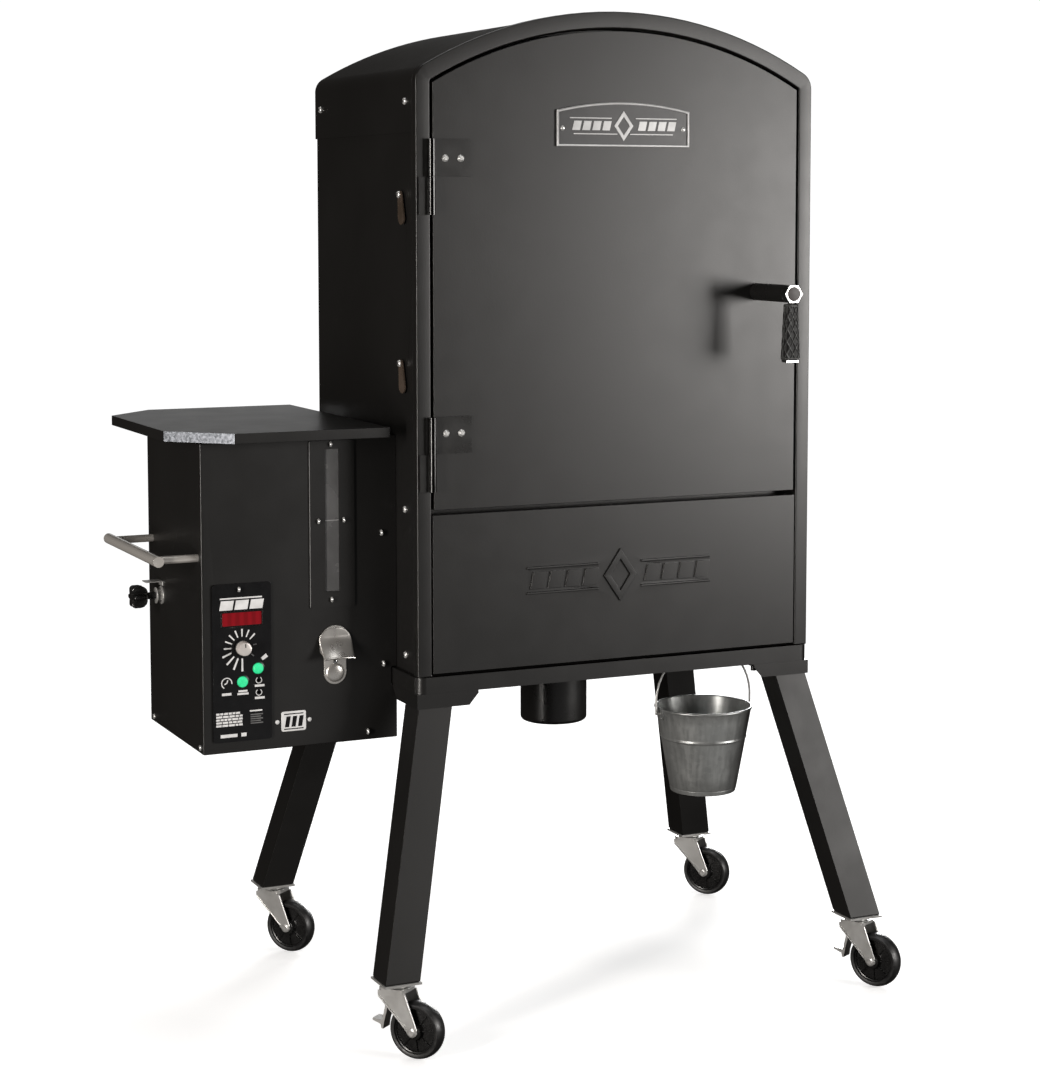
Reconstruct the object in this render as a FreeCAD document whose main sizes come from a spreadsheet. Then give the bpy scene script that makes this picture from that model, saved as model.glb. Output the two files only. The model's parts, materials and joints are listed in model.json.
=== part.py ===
"""Wood-pellet cabinet smoker on four splayed, castered legs.

Millimetres.  X runs to the right as one faces the door, Y runs to the back and Z runs up.
The dimensions below are measured from a datum on the floor under the middle of the front face;
every finished piece is then moved by origin_x and origin_y, so that the document's own origin is
on the floor under the middle of the whole object.
"""
import FreeCAD, Part
import math
import os
import sys
import Sketcher

DRIVING_SIZES = [
    ("origin_x", 118.78, "datum to the middle of the whole object, X"),
    ("origin_y", -185.1, "datum to the middle of the whole object, Y"),
    ("cab_width", 622.0, "cabinet width over the front frame"),
    ("cab_depth", 410.0, "front frame to back panel"),
    ("sheet", 2.0, "sheet metal thickness"),
    ("base_bottom", 482.0, "underside of the base tray"),
    ("base_height", 23.0, "height of the base tray's skirt"),
    ("base_proud", 2.0, "how far the base stands out past the cabinet"),
    ("base_round", 14.0, "corner radius of the base tray"),
    ("arch_z", 824.0, "height of the centre that all arches share"),
    ("arch_radius", 601.0, "outer arch of the front frame"),
    ("arch_band", 23.0, "front frame width over the arch"),
    ("frame_band", 21.0, "front frame width at the sides"),
    ("frame_round", 26.0, "corner radius of the frame's outline"),
    ("frame_return", 16.0, "depth of the frame's outer flange"),
    ("frame_depth", 34.0, "depth of the door opening"),
    ("stop_width", 26.0, "door stop, inwards from the opening"),
    ("door_sill", 760.0, "lower edge of the chamber's mouth"),
    ("roof_inset", 3.0, "roof and sides behind the frame's outline"),
    ("seam_z", 1254.0, "lower edge of the roof cover"),
    ("door_gap", 4.0, "gap between door and frame"),
    ("door_bottom", 737.0, "lower edge of the door"),
    ("door_depth", 26.0, "depth of the door's pan"),
    ("panel_top", 730.0, "upper edge of the lower front panel"),
    ("motif_z", 630.0, "middle of the lower front panel's motif"),
    ("hinge_x", 290.0, "hinge pin, left of the middle"),
    ("hinge_y", 5.5, "hinge pin, in front of the frame"),
    ("knuckle_r", 5.5, "hinge knuckle radius"),
    ("pin_r", 3.0, "hinge pin radius"),
    ("fit_gap", 0.05, "radial running clearance"),
    ("hinge_top", 1245.0, "top of the upper hinge"),
    ("hinge_low", 866.0, "top of the lower hinge"),
    ("leaf_high", 51.0, "height of one hinge leaf"),
    ("knuckle_gap", 0.6, "gap between the two knuckles"),
    ("handle_x", 222.0, "handle spindle, right of the middle"),
    ("handle_z", 1030.0, "handle spindle height"),
    ("handle_reach", 100.0, "handle spindle, out from the door"),
    ("grip_long", 82.0, "length of the grip"),
    ("leg_side", 50.0, "side of the square leg tube"),
    ("leg_top_in", 30.0, "leg axis at the top, in from the cabinet's corner"),
    ("leg_splay", 87.0, "how far a leg leans out, each way"),
    ("leg_foot", 105.0, "height of the leg's lower end"),
    ("bracket_thick", 4.0, "leg bracket thickness"),
    ("wheel_r", 40.0, "caster wheel radius"),
    ("wheel_half", 12.0, "half the width of a wheel"),
    ("trail", 33.0, "caster trail"),
    ("fork_inner", 14.0, "half the room inside the fork"),
    ("fork_sheet", 2.5, "fork plate thickness"),
    ("kingpin_r", 5.0, "caster kingpin radius"),
    ("axle_r", 4.0, "wheel axle radius"),
    ("hop_left", 591.0, "hopper's left wall"),
    ("hop_front", 91.0, "hopper's front wall"),
    ("hop_back", 405.0, "hopper's back wall"),
    ("hop_cut", 55.0, "hopper's cut-off rear corner"),
    ("hop_bottom", 405.0, "underside of the hopper"),
    ("hop_top", 834.0, "rim of the hopper"),
    ("lid_left", 635.0, "lid's left edge"),
    ("lid_right", 336.0, "lid's right edge"),
    ("lid_front", 36.0, "lid's front edge"),
    ("lid_back", 456.0, "lid's back edge"),
    ("lid_cut", 76.0, "lid's cut-off corners"),
    ("lid_under", 837.0, "underside of the lid's rim"),
    ("lid_thick", 14.0, "height of the lid's rim"),
    ("lid_pin_y", 411.0, "lid hinge pin"),
    ("lid_pin_z", 831.0, "lid hinge pin"),
    ("panel_left", 577.0, "control panel's left edge"),
    ("panel_wide", 84.0, "control panel width"),
    ("panel_low", 421.0, "control panel's lower edge"),
    ("panel_high", 219.0, "control panel height"),
    ("plate_thick", 2.5, "thickness of plates on the hopper's face"),
    ("dial_x", 535.0, "temperature dial"),
    ("dial_z", 551.0, "temperature dial"),
    ("button_r", 7.5, "push button radius"),
    ("power_x", 535.0, "lower push button"),
    ("power_z", 503.5, "lower push button"),
    ("feed_x", 512.5, "upper push button"),
    ("feed_z", 520.5, "upper push button"),
    ("window_x", 402.5, "middle of the level window"),
    ("window_wide", 65.0, "window plate width"),
    ("window_low", 598.0, "window plate's lower edge"),
    ("window_high", 233.0, "window plate height"),
    ("pane_wide", 21.0, "visible width of the pane"),
    ("pane_low", 620.0, "visible pane's lower edge"),
    ("pane_high", 199.0, "visible height of the pane"),
    ("bar_x", 650.0, "side handle bar"),
    ("bar_z", 676.0, "side handle bar"),
    ("bar_r", 7.5, "side handle bar radius"),
    ("bar_front", 91.0, "front end of the side handle"),
    ("bar_back", 350.0, "back end of the side handle"),
    ("knob_y", 285.0, "clean-out knob"),
    ("knob_z", 599.0, "clean-out knob"),
    ("flap_y", 61.0, "probe flap pivot, behind the frame's face"),
    ("flap_high_z", 1170.0, "upper flap pivot"),
    ("flap_low_z", 937.0, "lower flap pivot"),
    ("flap_drop", 33.0, "pivot to the centre of the flap's round end"),
    ("port_r", 8.0, "probe port radius"),
    ("pot_x", 8.0, "fire pot, left of the middle"),
    ("pot_y", 205.0, "fire pot"),
    ("cup_r", 50.0, "ash cup radius"),
    ("cup_low", 382.0, "bottom of the ash cup"),
    ("auger_z", 556.0, "auger axis height"),
    ("auger_r", 18.0, "auger flight radius"),
    ("bucket_x", 192.0, "bucket, right of the middle"),
    ("bucket_y", 100.0, "bucket"),
    ("bucket_rim", 406.0, "height of the bucket's rim"),
    ("bucket_low", 276.0, "bottom of the bucket"),
    ("bucket_rim_r", 73.0, "bucket radius at the rim"),
    ("bucket_low_r", 49.0, "bucket radius at the bottom"),
    ("hook_z", 491.0, "hanger pin height"),
    ("bail_wire", 1.6, "bail wire radius"),
    ("rack_low", 800.0, "lowest cooking rack"),
    ("rack_step", 115.0, "distance between racks"),
    ("rack_bar", 4.0, "thickness of a rack"),
    ("nameplate_x", 3.0, "middle of the nameplate"),
    ("nameplate_wide", 208.0, "nameplate width"),
    ("nameplate_low", 1237.0, "nameplate's lower edge"),
    ("nameplate_high", 50.0, "nameplate height at its ends"),
    ("nameplate_radius", 460.0, "nameplate's arched top"),
]
DETAIL_SIZES = [
    ("skin_gap", 1.0, "gap between neighbouring skins"),
    ("seam_lap", 14.0, "how far the roof cover laps over the sides"),
    ("flange_gap", 0.5, "side panels, clear of the frame's bottom flange"),
    ("port_ahead", 5.0, "probe port, ahead of its flap's pivot"),
    ("panel_depth", 20.0, "depth of the lower panel's pan"),
    ("slot_step", 70.0, "from one exhaust slot to the next"),
    ("slot_wide", 50.0, "exhaust slot width"),
    ("slot_high", 8.0, "exhaust slot height"),
    ("slot_row", 24.0, "from one row of slots to the next"),
    ("slot_rise", 20.0, "first row of slots, above the roof's seam"),
    ("ash_lip", 5.0, "how far the floor stands in over the ash cup"),
    ("drain_r", 9.0, "grease drain hole radius"),
    ("drain_back", 40.0, "grease drain, behind the bucket's middle"),
    ("rail_front", 50.0, "front end of the rack rails"),
    ("rail_back", 380.0, "back end of the rack rails"),
    ("rail_start", 3.0, "rack rail's outer edge, in from the wall"),
    ("rail_reach", 22.0, "rack rail's inner edge, in from the wall"),
    ("rail_lip", 14.0, "height of a rail's upright flange"),
    ("upright_thick", 4.0, "rail uprights"),
    ("upright_wide", 18.0, "rail uprights"),
    ("upright_high", 470.0, "rail uprights"),
    ("upright_front", 70.0, "front of the front upright"),
    ("upright_back", 330.0, "front of the back upright"),
    ("rack_clear", 8.0, "rack's ends, in from the wall"),
    ("rack_front", 54.0, "front of the racks"),
    ("rack_middle", 212.0, "middle cross bar of the racks"),
    ("rack_back", 376.0, "back of the racks"),
    ("rack_lift", 0.5, "room between a rack and its rails"),
    ("deflector_half", 230.0, "heat deflector, half its width"),
    ("deflector_edge", 640.0, "height of the heat deflector's sides"),
    ("deflector_ridge", 676.0, "height of the heat deflector's fold"),
    ("deflector_sheet", 2.5, "heat deflector thickness, measured upright"),
    ("deflector_front", 60.0, "front of the heat deflector"),
    ("deflector_back", 350.0, "back of the heat deflector"),
    ("foot_in", 4.0, "deflector's feet, in from its sides"),
    ("foot_thick", 3.0, "deflector's feet"),
    ("foot_wide", 20.0, "deflector's feet"),
    ("foot_front", 80.0, "front of the deflector's front feet"),
    ("foot_back", 310.0, "front of the deflector's back feet"),
    ("tray_clear", 3.0, "drip tray's sides, in from the wall"),
    ("tray_front", 44.0, "front of the drip tray"),
    ("tray_back", 396.0, "back of the drip tray"),
    ("tray_low", 712.0, "underside of the drip tray"),
    ("tray_high", 742.0, "rim of the drip tray"),
    ("pot_throat_r", 30.0, "fire pot's opening to the ash cup"),
    ("pot_r", 56.0, "fire pot outer radius"),
    ("pot_rim_r", 62.0, "fire pot rim radius"),
    ("pot_wall", 3.0, "fire pot wall"),
    ("pot_top", 609.0, "height of the fire pot's rim"),
    ("inlet_out", 14.0, "auger inlet's cut starts this far outside the pot"),
    ("inlet_long", 30.0, "length of the auger inlet's cut"),
    ("notch_room", 1.0, "hopper's clearance round the base tray"),
    ("leg_room", 14.0, "hopper's further clearance round leg and bracket"),
    ("leg_notch", 92.0, "leg notch, forward of the back panel"),
    ("panel_margin", 6.0, "control panel's overlap on the hopper's sheet"),
    ("stem_room", 0.5, "hopper wall's clearance round the clean-out's screw"),
    ("bin_gap", 6.0, "pellet bin, inside the hopper's walls"),
    ("bin_top_gap", 4.0, "pellet bin's rim below the hopper's"),
    ("bin_slope", 60.0, "how far the bin's ends slope in"),
    ("bin_slot", 22.0, "half the width of the bin's mouth over the auger"),
    ("bin_rise", 26.0, "bin's mouth, above the auger's axis"),
    ("tube_in", 2.0, "feed tube's bore, outside the auger"),
    ("tube_out", 4.0, "feed tube's skin, outside the auger"),
    ("tube_start", 46.0, "feed tube, right of the hopper's left wall"),
    ("tube_end", 57.0, "feed tube's right end, left of the pot's axis"),
    ("mouth_start", 40.0, "tube's open mouth, from its left end"),
    ("mouth_end", 80.0, "tube's open mouth ends, left of the cabinet's wall"),
    ("mouth_half", 14.0, "tube's open mouth, half its width"),
    ("mouth_high", 30.0, "height of the mouth's cut"),
    ("screw_start", 42.0, "auger, right of the hopper's left wall"),
    ("screw_end", 62.0, "auger's right end, left of the pot's axis"),
    ("core_r", 6.0, "auger core radius"),
    ("flight_first", 14.0, "first turn, from the auger's left end"),
    ("flight_pitch", 32.0, "auger pitch"),
    ("flight_thick", 2.0, "auger flight thickness"),
    ("gear_long", 38.0, "gear box"),
    ("gear_half", 35.0, "gear box, half its width"),
    ("gear_down", 36.0, "gear box, below the auger's axis"),
    ("gear_up", 24.0, "gear box, above the auger's axis"),
    ("motor_r", 24.0, "feed motor radius"),
    ("motor_long", 46.0, "feed motor length"),
    ("motor_in", 27.0, "feed motor's axis, right of the gear box's left face"),
    ("motor_down", 8.0, "feed motor's axis, below the auger's"),
    ("fan_x", 180.0, "fan casing, right of the hopper's left wall"),
    ("fan_y", 300.0, "fan axis"),
    ("fan_z", 462.0, "fan axis"),
    ("fan_r", 46.0, "fan casing radius"),
    ("fan_deep", 36.0, "fan casing depth"),
    ("fan_wall", 3.0, "fan casing wall"),
    ("outlet_start", 34.0, "fan outlet, behind the fan's axis"),
    ("outlet_end", 72.0, "fan outlet's end, behind the fan's axis"),
    ("outlet_down", 22.0, "fan outlet, below the fan's axis"),
    ("outlet_up", 8.0, "fan outlet, above the fan's axis"),
    ("impeller_in", 4.0, "impeller, inside the casing's left face"),
    ("impeller_r", 38.0, "impeller disc radius"),
    ("impeller_deep", 22.0, "impeller hub length"),
    ("disc_thick", 3.0, "impeller disc thickness"),
    ("impeller_hub_r", 9.0, "impeller hub radius"),
    ("blade_in", 3.0, "blade's left edge, in from the hub's"),
    ("blade_foot", 25.0, "blade's inner edge, from the axis"),
    ("blade_long", 20.0, "impeller blade, along the axis"),
    ("blade_wide", 12.0, "impeller blade, outwards"),
    ("blade_thick", 2.0, "impeller blade"),
    ("probe_r", 3.0, "chamber probe radius"),
    ("probe_long", 70.0, "chamber probe length"),
    ("probe_x", 180.0, "chamber probe, left of the middle"),
    ("probe_z", 1120.0, "chamber probe height"),
    ("probe_flange_r", 10.0, "chamber probe's flange"),
    ("probe_flange", 3.0, "chamber probe's flange thickness"),
    ("barrel_left", 530.0, "left end of the lid's hinge barrel"),
    ("barrel_long", 160.0, "length of the lid's hinge barrel"),
    ("barrel_r", 4.5, "lid's hinge barrel radius"),
    ("lid_pin_r", 2.5, "lid's hinge pin radius"),
    ("web_half", 2.0, "half the thickness of the barrel's web"),
    ("lug_gap", 3.0, "between the barrel and a lug"),
    ("lug_thick", 10.0, "lug of the lid's hinge"),
    ("lug_drop", 14.0, "lug below the pin"),
    ("lug_rise", 3.5, "lug above the pin"),
    ("lug_back", 4.0, "lug behind the pin"),
    ("window_round", 2.0, "window plate's corners"),
    ("panel_round", 4.0, "control panel's corners"),
    ("pane_gap", 0.2, "between pane and slot"),
    ("pane_proud", 1.0, "pane, proud of the hopper's wall"),
    ("dial_spindle_r", 3.0, "dial spindle radius"),
    ("dial_spindle", 8.0, "dial spindle, behind the panel"),
    ("dial_out", 16.0, "dial, out from the panel"),
    ("dial_r", 10.0, "dial radius at its face"),
    ("dial_waist", 9.2, "dial radius at its waist"),
    ("dial_foot", 10.5, "dial radius at the panel"),
    ("dial_round", 1.6, "dial's rounded edge"),
    ("dial_gap", 0.4, "between dial and panel"),
    ("button_gap", 0.3, "room round a push button"),
    ("button_crown", 3.2, "push button's middle, out from the panel"),
    ("button_shoulder", 2.8, "push button's shoulder, out from the panel"),
    ("button_edge", 1.2, "push button's edge, out from the panel"),
    ("button_slope", 2.0, "width of a push button's rounded edge"),
    ("button_round", 2.2, "radius of a push button's rounded edge"),
    ("button_flange", 1.5, "push button's flange, outwards and back"),
    ("button_seat", 3.0, "push button's flange, behind the panel's face"),
    ("socket_x", 511.5, "probe sockets, left of the middle"),
    ("socket_low", 487.0, "lower probe socket"),
    ("socket_high", 504.0, "upper probe socket"),
    ("socket_r", 2.0, "probe socket radius"),
    ("opener_x", 399.5, "middle of the bottle opener"),
    ("tongue_half", 17.0, "opener's tongue, half its width"),
    ("tongue_r", 17.5, "opener's tongue, radius of its end"),
    ("tongue_low", 502.0, "where the tongue's round end starts"),
    ("tongue_top", 528.0, "where the tongue widens"),
    ("dome_half", 24.5, "opener's dome, half its width"),
    ("dome_r", 25.0, "opener's dome radius"),
    ("dome_low", 536.0, "lower end of the dome's sides"),
    ("dome_top", 550.0, "where the dome's arch starts"),
    ("hood_half", 22.0, "opener's hood, half its width"),
    ("post_r", 5.5, "side handle's posts"),
    ("post_front", 16.0, "front post, from the bar's front end"),
    ("post_back", 22.0, "back post, from the bar's back end"),
    ("star_out", 46.0, "star knob's face, left of the hopper's wall"),
    ("star_r", 13.0, "star knob's core radius"),
    ("star_deep", 24.0, "star knob's depth"),
    ("lobe_r", 5.5, "star knob's lobes"),
    ("lobe_at", 12.5, "star knob's lobes, from its axis"),
    ("lobe_deep", 20.0, "length of the lobes"),
    ("stem_r", 5.0, "clean-out screw radius"),
    ("stem_long", 52.0, "clean-out screw length"),
    ("inlet_left", 490.0, "mains inlet's left edge"),
    ("inlet_wide", 40.0, "mains inlet width"),
    ("inlet_low", 440.0, "mains inlet's lower edge"),
    ("inlet_high", 28.0, "mains inlet height"),
    ("inlet_deep", 7.0, "mains inlet depth"),
    ("inlet_side", 7.0, "mains inlet's rim at the sides"),
    ("inlet_rim", 5.0, "mains inlet's rim above and below"),
    ("inlet_pin", 2.0, "thickness of a mains pin"),
    ("inlet_pin_step", 7.0, "from one mains pin to the next"),
    ("inlet_pin_long", 6.5, "mains pin's tip, behind the hopper's back"),
    ("spindle_hole_r", 8.0, "spindle's hole through the door"),
    ("seal_thick", 3.6, "door seal"),
    ("seal_in", 6.0, "door seal, in from the door's edge"),
    ("seal_wide", 11.0, "door seal width"),
    ("leaf_thick", 3.0, "hinge leaf thickness"),
    ("leaf_door", 231.0, "door leaf's right edge, left of the middle"),
    ("leaf_frame", 308.0, "frame leaf's left edge, left of the middle"),
    ("leaf_screw_near", 269.0, "leaf screw by the knuckle"),
    ("leaf_screw_far", 246.0, "leaf screw by the leaf's edge"),
    ("leaf_screw_drop", 26.0, "leaf screws, below the leaf's top"),
    ("leaf_screw_low", 3.0, "the lower leaf's screws sit this much higher"),
    ("nameplate_thick", 2.0, "nameplate's field"),
    ("nameplate_rim", 3.2, "nameplate's rim, out from the door"),
    ("nameplate_border", 3.5, "width of the nameplate's rim"),
    ("rivet_x", 95.0, "nameplate's rivets, from its middle"),
    ("rivet_z", 25.0, "nameplate's rivets, above its lower edge"),
    ("rivet_r", 3.5, "nameplate's rivets"),
    ("shaft_r", 12.5, "handle barrel radius"),
    ("shaft_gap", 0.5, "between the handle's barrel and the door"),
    ("shaft_start", 10.0, "barrel's outer end, in from the handle's reach"),
    ("nut_r", 14.0, "handle nut, across its corners, halved"),
    ("nut_long", 14.0, "handle nut length"),
    ("nut_out", 4.0, "handle nut, out past the handle's reach"),
    ("spindle_r", 7.0, "handle spindle radius"),
    ("spindle_long", 50.0, "handle spindle length"),
    ("spindle_start", 8.0, "handle spindle starts this far before the door"),
    ("tongue_wide", 18.0, "latch tongue width"),
    ("tongue_gap", 2.5, "latch tongue, behind the door stop"),
    ("tongue_thick", 5.0, "latch tongue thickness"),
    ("tongue_reach", 56.0, "latch tongue's end, from the spindle"),
    ("stem_wire_r", 4.0, "radius of the stem in the grip"),
    ("grip_in", 5.0, "grip's axis, in from the handle's reach"),
    ("grip_drop", 12.0, "top of the grip's length, below the spindle"),
    ("grip_gap", 2.5, "grip's upper end, lower still"),
    ("grip_cap", 3.0, "thickness of the grip's end cap"),
    ("cap_half_x", 10.0, "end cap, half its width"),
    ("cap_half_y", 6.5, "end cap, half its depth"),
    ("grip_low_x", 13.5, "grip's lower end, half its width"),
    ("grip_low_y", 9.0, "grip's lower end, half its depth"),
    ("grip_high_x", 9.5, "grip's upper end, half its width"),
    ("grip_high_y", 7.5, "grip's upper end, half its depth"),
    ("flap_gap", 1.0, "between a flap and the cabinet's side"),
    ("flap_thick", 2.0, "flap thickness"),
    ("flap_front", 16.0, "flap's round end, ahead of the pivot"),
    ("flap_behind", 6.0, "flap's round end, behind the pivot"),
    ("flap_r", 11.4, "radius of the flap's lower end"),
    ("flap_neck", 7.0, "flap's upper end, half its width"),
    ("flap_neck_r", 7.3, "radius of the flap's upper end"),
    ("flap_pin_r", 2.5, "flap's pivot radius"),
    ("flap_pin", 5.0, "flap's pivot length"),
    ("flap_head", 4.0, "flap's screw head, out from the cabinet's side"),
    ("cup_round", 6.0, "ash cup's lower corner"),
    ("cup_rim", 5.0, "ash cup's rim, outwards"),
    ("pail_foot", 3.0, "pail's floor above its lower edge"),
    ("pail_skirt", 2.0, "pail's foot ring"),
    ("pail_wall", 1.5, "pail's wall"),
    ("pail_roll", 1.0, "pail's rolled rim, outwards"),
    ("pail_roll_high", 3.0, "height of the pail's rolled rim"),
    ("ear_half", 8.0, "pail's ears, half their width"),
    ("ear_thick", 5.0, "pail's ears"),
    ("ear_high", 16.0, "height of the pail's ears"),
    ("bail_drop", 8.0, "bail's pivots, below the rim"),
    ("bail_out", 7.0, "bail's uprights, outside the rim"),
    ("bail_foot", 10.0, "length of the bail's turned-in ends"),
    ("bail_slack", 0.3, "between the bail and its hook"),
    ("hook_r", 3.0, "hanger pin radius"),
    ("hook_long", 24.0, "hanger pin length"),
    ("hook_ahead", 12.0, "hanger pin's front end, ahead of the bail"),
    ("hook_stop_r", 5.0, "hanger pin's end stop"),
    ("hook_stop", 2.0, "thickness of the end stop"),
    ("hook_plate_half", 10.0, "hanger plate, half its width"),
    ("hook_plate_back", 9.0, "hanger plate, behind the bail"),
    ("hook_plate", 3.0, "hanger plate thickness"),
    ("hook_plate_drop", 4.0, "hanger plate, below the pin's axis"),
    ("spout_r", 8.5, "grease spout radius"),
    ("spout_bore_r", 6.5, "grease spout bore"),
    ("spout_long", 18.0, "grease spout length"),
    ("bracket_wide", 92.0, "bracket, along each side"),
    ("bracket_out", 2.0, "bracket, outside the cabinet"),
    ("bracket_drop", 20.0, "bracket's flanges, below the base"),
    ("bracket_slant", 14.0, "slant at the flanges' inner ends"),
    ("bracket_flange", 2.5, "thickness of the bracket's flanges"),
    ("bolt_far", 82.0, "bracket's bolts, from one side"),
    ("bolt_near", 20.0, "bracket's bolts, from the other side"),
    ("bolt_r", 4.0, "bracket's bolts"),
    ("bolt_long", 9.0, "bracket's bolts"),
    ("mount_half", 27.0, "caster plate, half its side"),
    ("mount_thick", 3.0, "caster plate thickness"),
    ("race_r", 17.0, "caster's ball race"),
    ("race_high", 5.0, "caster's ball race"),
    ("race_foot", 8.0, "underside of the race, below the leg"),
    ("pin_foot", 21.0, "kingpin's lower end, below the leg"),
    ("crown_drop", 9.0, "fork's crown, below the leg"),
    ("crown_thick", 4.0, "fork's crown thickness"),
    ("crown_back", 20.0, "fork's crown, behind the kingpin"),
    ("crown_front", 22.0, "fork's crown, ahead of the kingpin"),
    ("crown_round", 6.0, "fork's crown corners"),
    ("cheek_half", 8.0, "fork's cheek at the axle, half its width"),
    ("cheek_r", 8.3, "radius of the cheek's end"),
    ("cheek_back", 10.0, "height of the cheek's back edge"),
    ("axle_proud", 2.0, "axle's ends, outside the fork"),
    ("tread_edge", 4.0, "tread's edge, in from its crown"),
    ("tread_r", 20.0, "radius of the tread's crown"),
    ("rim_r", 29.0, "wheel rim radius at the face"),
    ("rim_in", 1.0, "wheel rim, in from the wheel's face"),
    ("web_r", 27.0, "outer radius of the wheel's web"),
    ("web_rim", 5.0, "half the web's thickness at the rim"),
    ("hub_foot_r", 12.5, "wheel hub radius at the web"),
    ("web_hub", 6.0, "half the web's thickness at the hub"),
    ("hub_r", 11.0, "wheel hub radius at its face"),
    ("hub_proud", 1.5, "wheel hub, out past the wheel's face"),
    ("lever_half", 9.0, "brake pedal, half its width"),
    ("lever_pin_r", 2.5, "brake pedal's pin"),
    ("lever_pin_long", 24.0, "brake pedal's pin"),
    ("lever_pin_x", 8.0, "brake pedal's pin, behind the kingpin"),
    ("lever_pin_z", 80.0, "brake pedal's pin height"),
]
PAST = 5.0  # how far a cutting tool runs past what it cuts
RACK_COUNT = 4
RACK_GAPS = 13
SLOT_COLUMNS = (-2, -1, 0, 1, 2)
BLADES = 10
STAR_LOBES = 6
HINGE_SIDES = {"frame": -1, "door": 1}
CASTER_TURN = {"front_left": -52.0, "front_right": -62.0, "rear_left": -52.0, "rear_right": -52.0}
CORNERS = {"front_left": (-1, -1), "front_right": (1, -1), "rear_left": (-1, 1), "rear_right": (1, 1)}

doc = FreeCAD.newDocument("pellet_cabinet_smoker")
sheet_object = doc.addObject("Spreadsheet::Sheet", "dims")
for row, (alias, number, meaning) in enumerate(DRIVING_SIZES + DETAIL_SIZES, start=1):
    sheet_object.set(f"A{row}", meaning)
    sheet_object.set(f"B{row}", str(number))
    sheet_object.setAlias(f"B{row}", alias)
doc.recompute()


class Size:
    """A length kept both as a number and as the sheet formula that gives it."""

    def __init__(self, value, text):
        self.value = float(value)
        self.text = text

    def __add__(self, other):
        other = size(other)
        return Size(self.value + other.value, f"({self.text} + {other.text})")

    def __sub__(self, other):
        other = size(other)
        return Size(self.value - other.value, f"({self.text} - {other.text})")

    def __mul__(self, other):
        other = size(other)
        return Size(self.value * other.value, f"({self.text} * {other.text})")

    def __truediv__(self, other):
        other = size(other)
        return Size(self.value / other.value, f"({self.text} / {other.text})")

    def __neg__(self):
        return Size(-self.value, f"(0 - {self.text})")

    def __radd__(self, other):
        return size(other) + self

    def __rsub__(self, other):
        return size(other) - self

    def __rmul__(self, other):
        return size(other) * self


def size(value):
    """The value itself when it is a Size, or a plain number as one."""
    if isinstance(value, Size):
        return value
    return Size(value, f"({float(value)!r})")


def dim(alias):
    """The sheet cell of that name."""
    return Size(sheet_object.get(alias), f"dims.{alias}")


def root(value):
    value = size(value)
    return Size(math.sqrt(value.value), f"sqrt({value.text})")


def cosine(degrees):
    return Size(math.cos(math.radians(degrees.value)), f"cos({degrees.text})")


def sine(degrees):
    return Size(math.sin(math.radians(degrees.value)), f"sin({degrees.text})")


# --- helpers -----------------------------------------------------------------------------------

ALONG_X = FreeCAD.Rotation(FreeCAD.Vector(0, 1, 0), 90)
ALONG_Y = FreeCAD.Rotation(FreeCAD.Vector(1, 0, 0), -90)
UPRIGHT = FreeCAD.Rotation()
ZERO = size(0)
nodes = []
places = {}


def bind(thing, **sizes):
    for name, value in sizes.items():
        value = size(value)
        setattr(thing, name, value.value)
        thing.setExpression(name, value.text)


def put(thing, x=ZERO, y=ZERO, z=ZERO, turn=UPRIGHT):
    """Place a thing; each coordinate is bound to its formula."""
    x, y, z = size(x), size(y), size(z)
    thing.Placement = FreeCAD.Placement(FreeCAD.Vector(x.value, y.value, z.value), turn)
    for axis, value in zip("xyz", (x, y, z)):
        thing.setExpression(f"Placement.Base.{axis}", value.text)
    places[thing.Name] = (x, y, z, turn)
    return thing


def node(label, thing):
    """Name a finished piece and move it from the datum to the object's origin."""
    x, y, z, turn = places.get(thing.Name, (ZERO, ZERO, ZERO, UPRIGHT))
    put(thing, x + dim("origin_x"), y + dim("origin_y"), z, turn)
    thing.Label = label
    nodes.append(thing)
    return thing


def box(x0, x1, y0, y1, z0, z1):
    """A block between two corners."""
    x0, x1, y0, y1, z0, z1 = [size(value) for value in (x0, x1, y0, y1, z0, z1)]
    block = doc.addObject("Part::Box", "block")
    bind(block, Length=x1 - x0, Width=y1 - y0, Height=z1 - z0)
    return put(block, x0, y0, z0)


def rod(radius, length, x, y, z, turn=UPRIGHT):
    """A round bar that starts at a point; unturned it runs up."""
    bar = doc.addObject("Part::Cylinder", "bar")
    bind(bar, Radius=radius, Height=length)
    return put(bar, x, y, z, turn)


def join(*pieces):
    fused = doc.addObject("Part::MultiFuse", "fused")
    fused.Shapes = list(pieces)
    return fused


def cut(base, *tools):
    """The base with every tool taken away."""
    result = doc.addObject("Part::Cut", "cut")
    result.Base = base
    result.Tool = tools[0] if len(tools) == 1 else join(*tools)
    return result


def group(*pieces):
    """Several separate solids that make one node."""
    together = doc.addObject("Part::Compound", "group")
    together.Links = list(pieces)
    return together


def line_to(x, y):
    return (size(x), size(y), None, 0)


def arc_to(x, y, radius, side):
    """An arc to the point; side 1 bulges to the right of the way there, -1 to the left."""
    return (size(x), size(y), size(radius), side)


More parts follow.
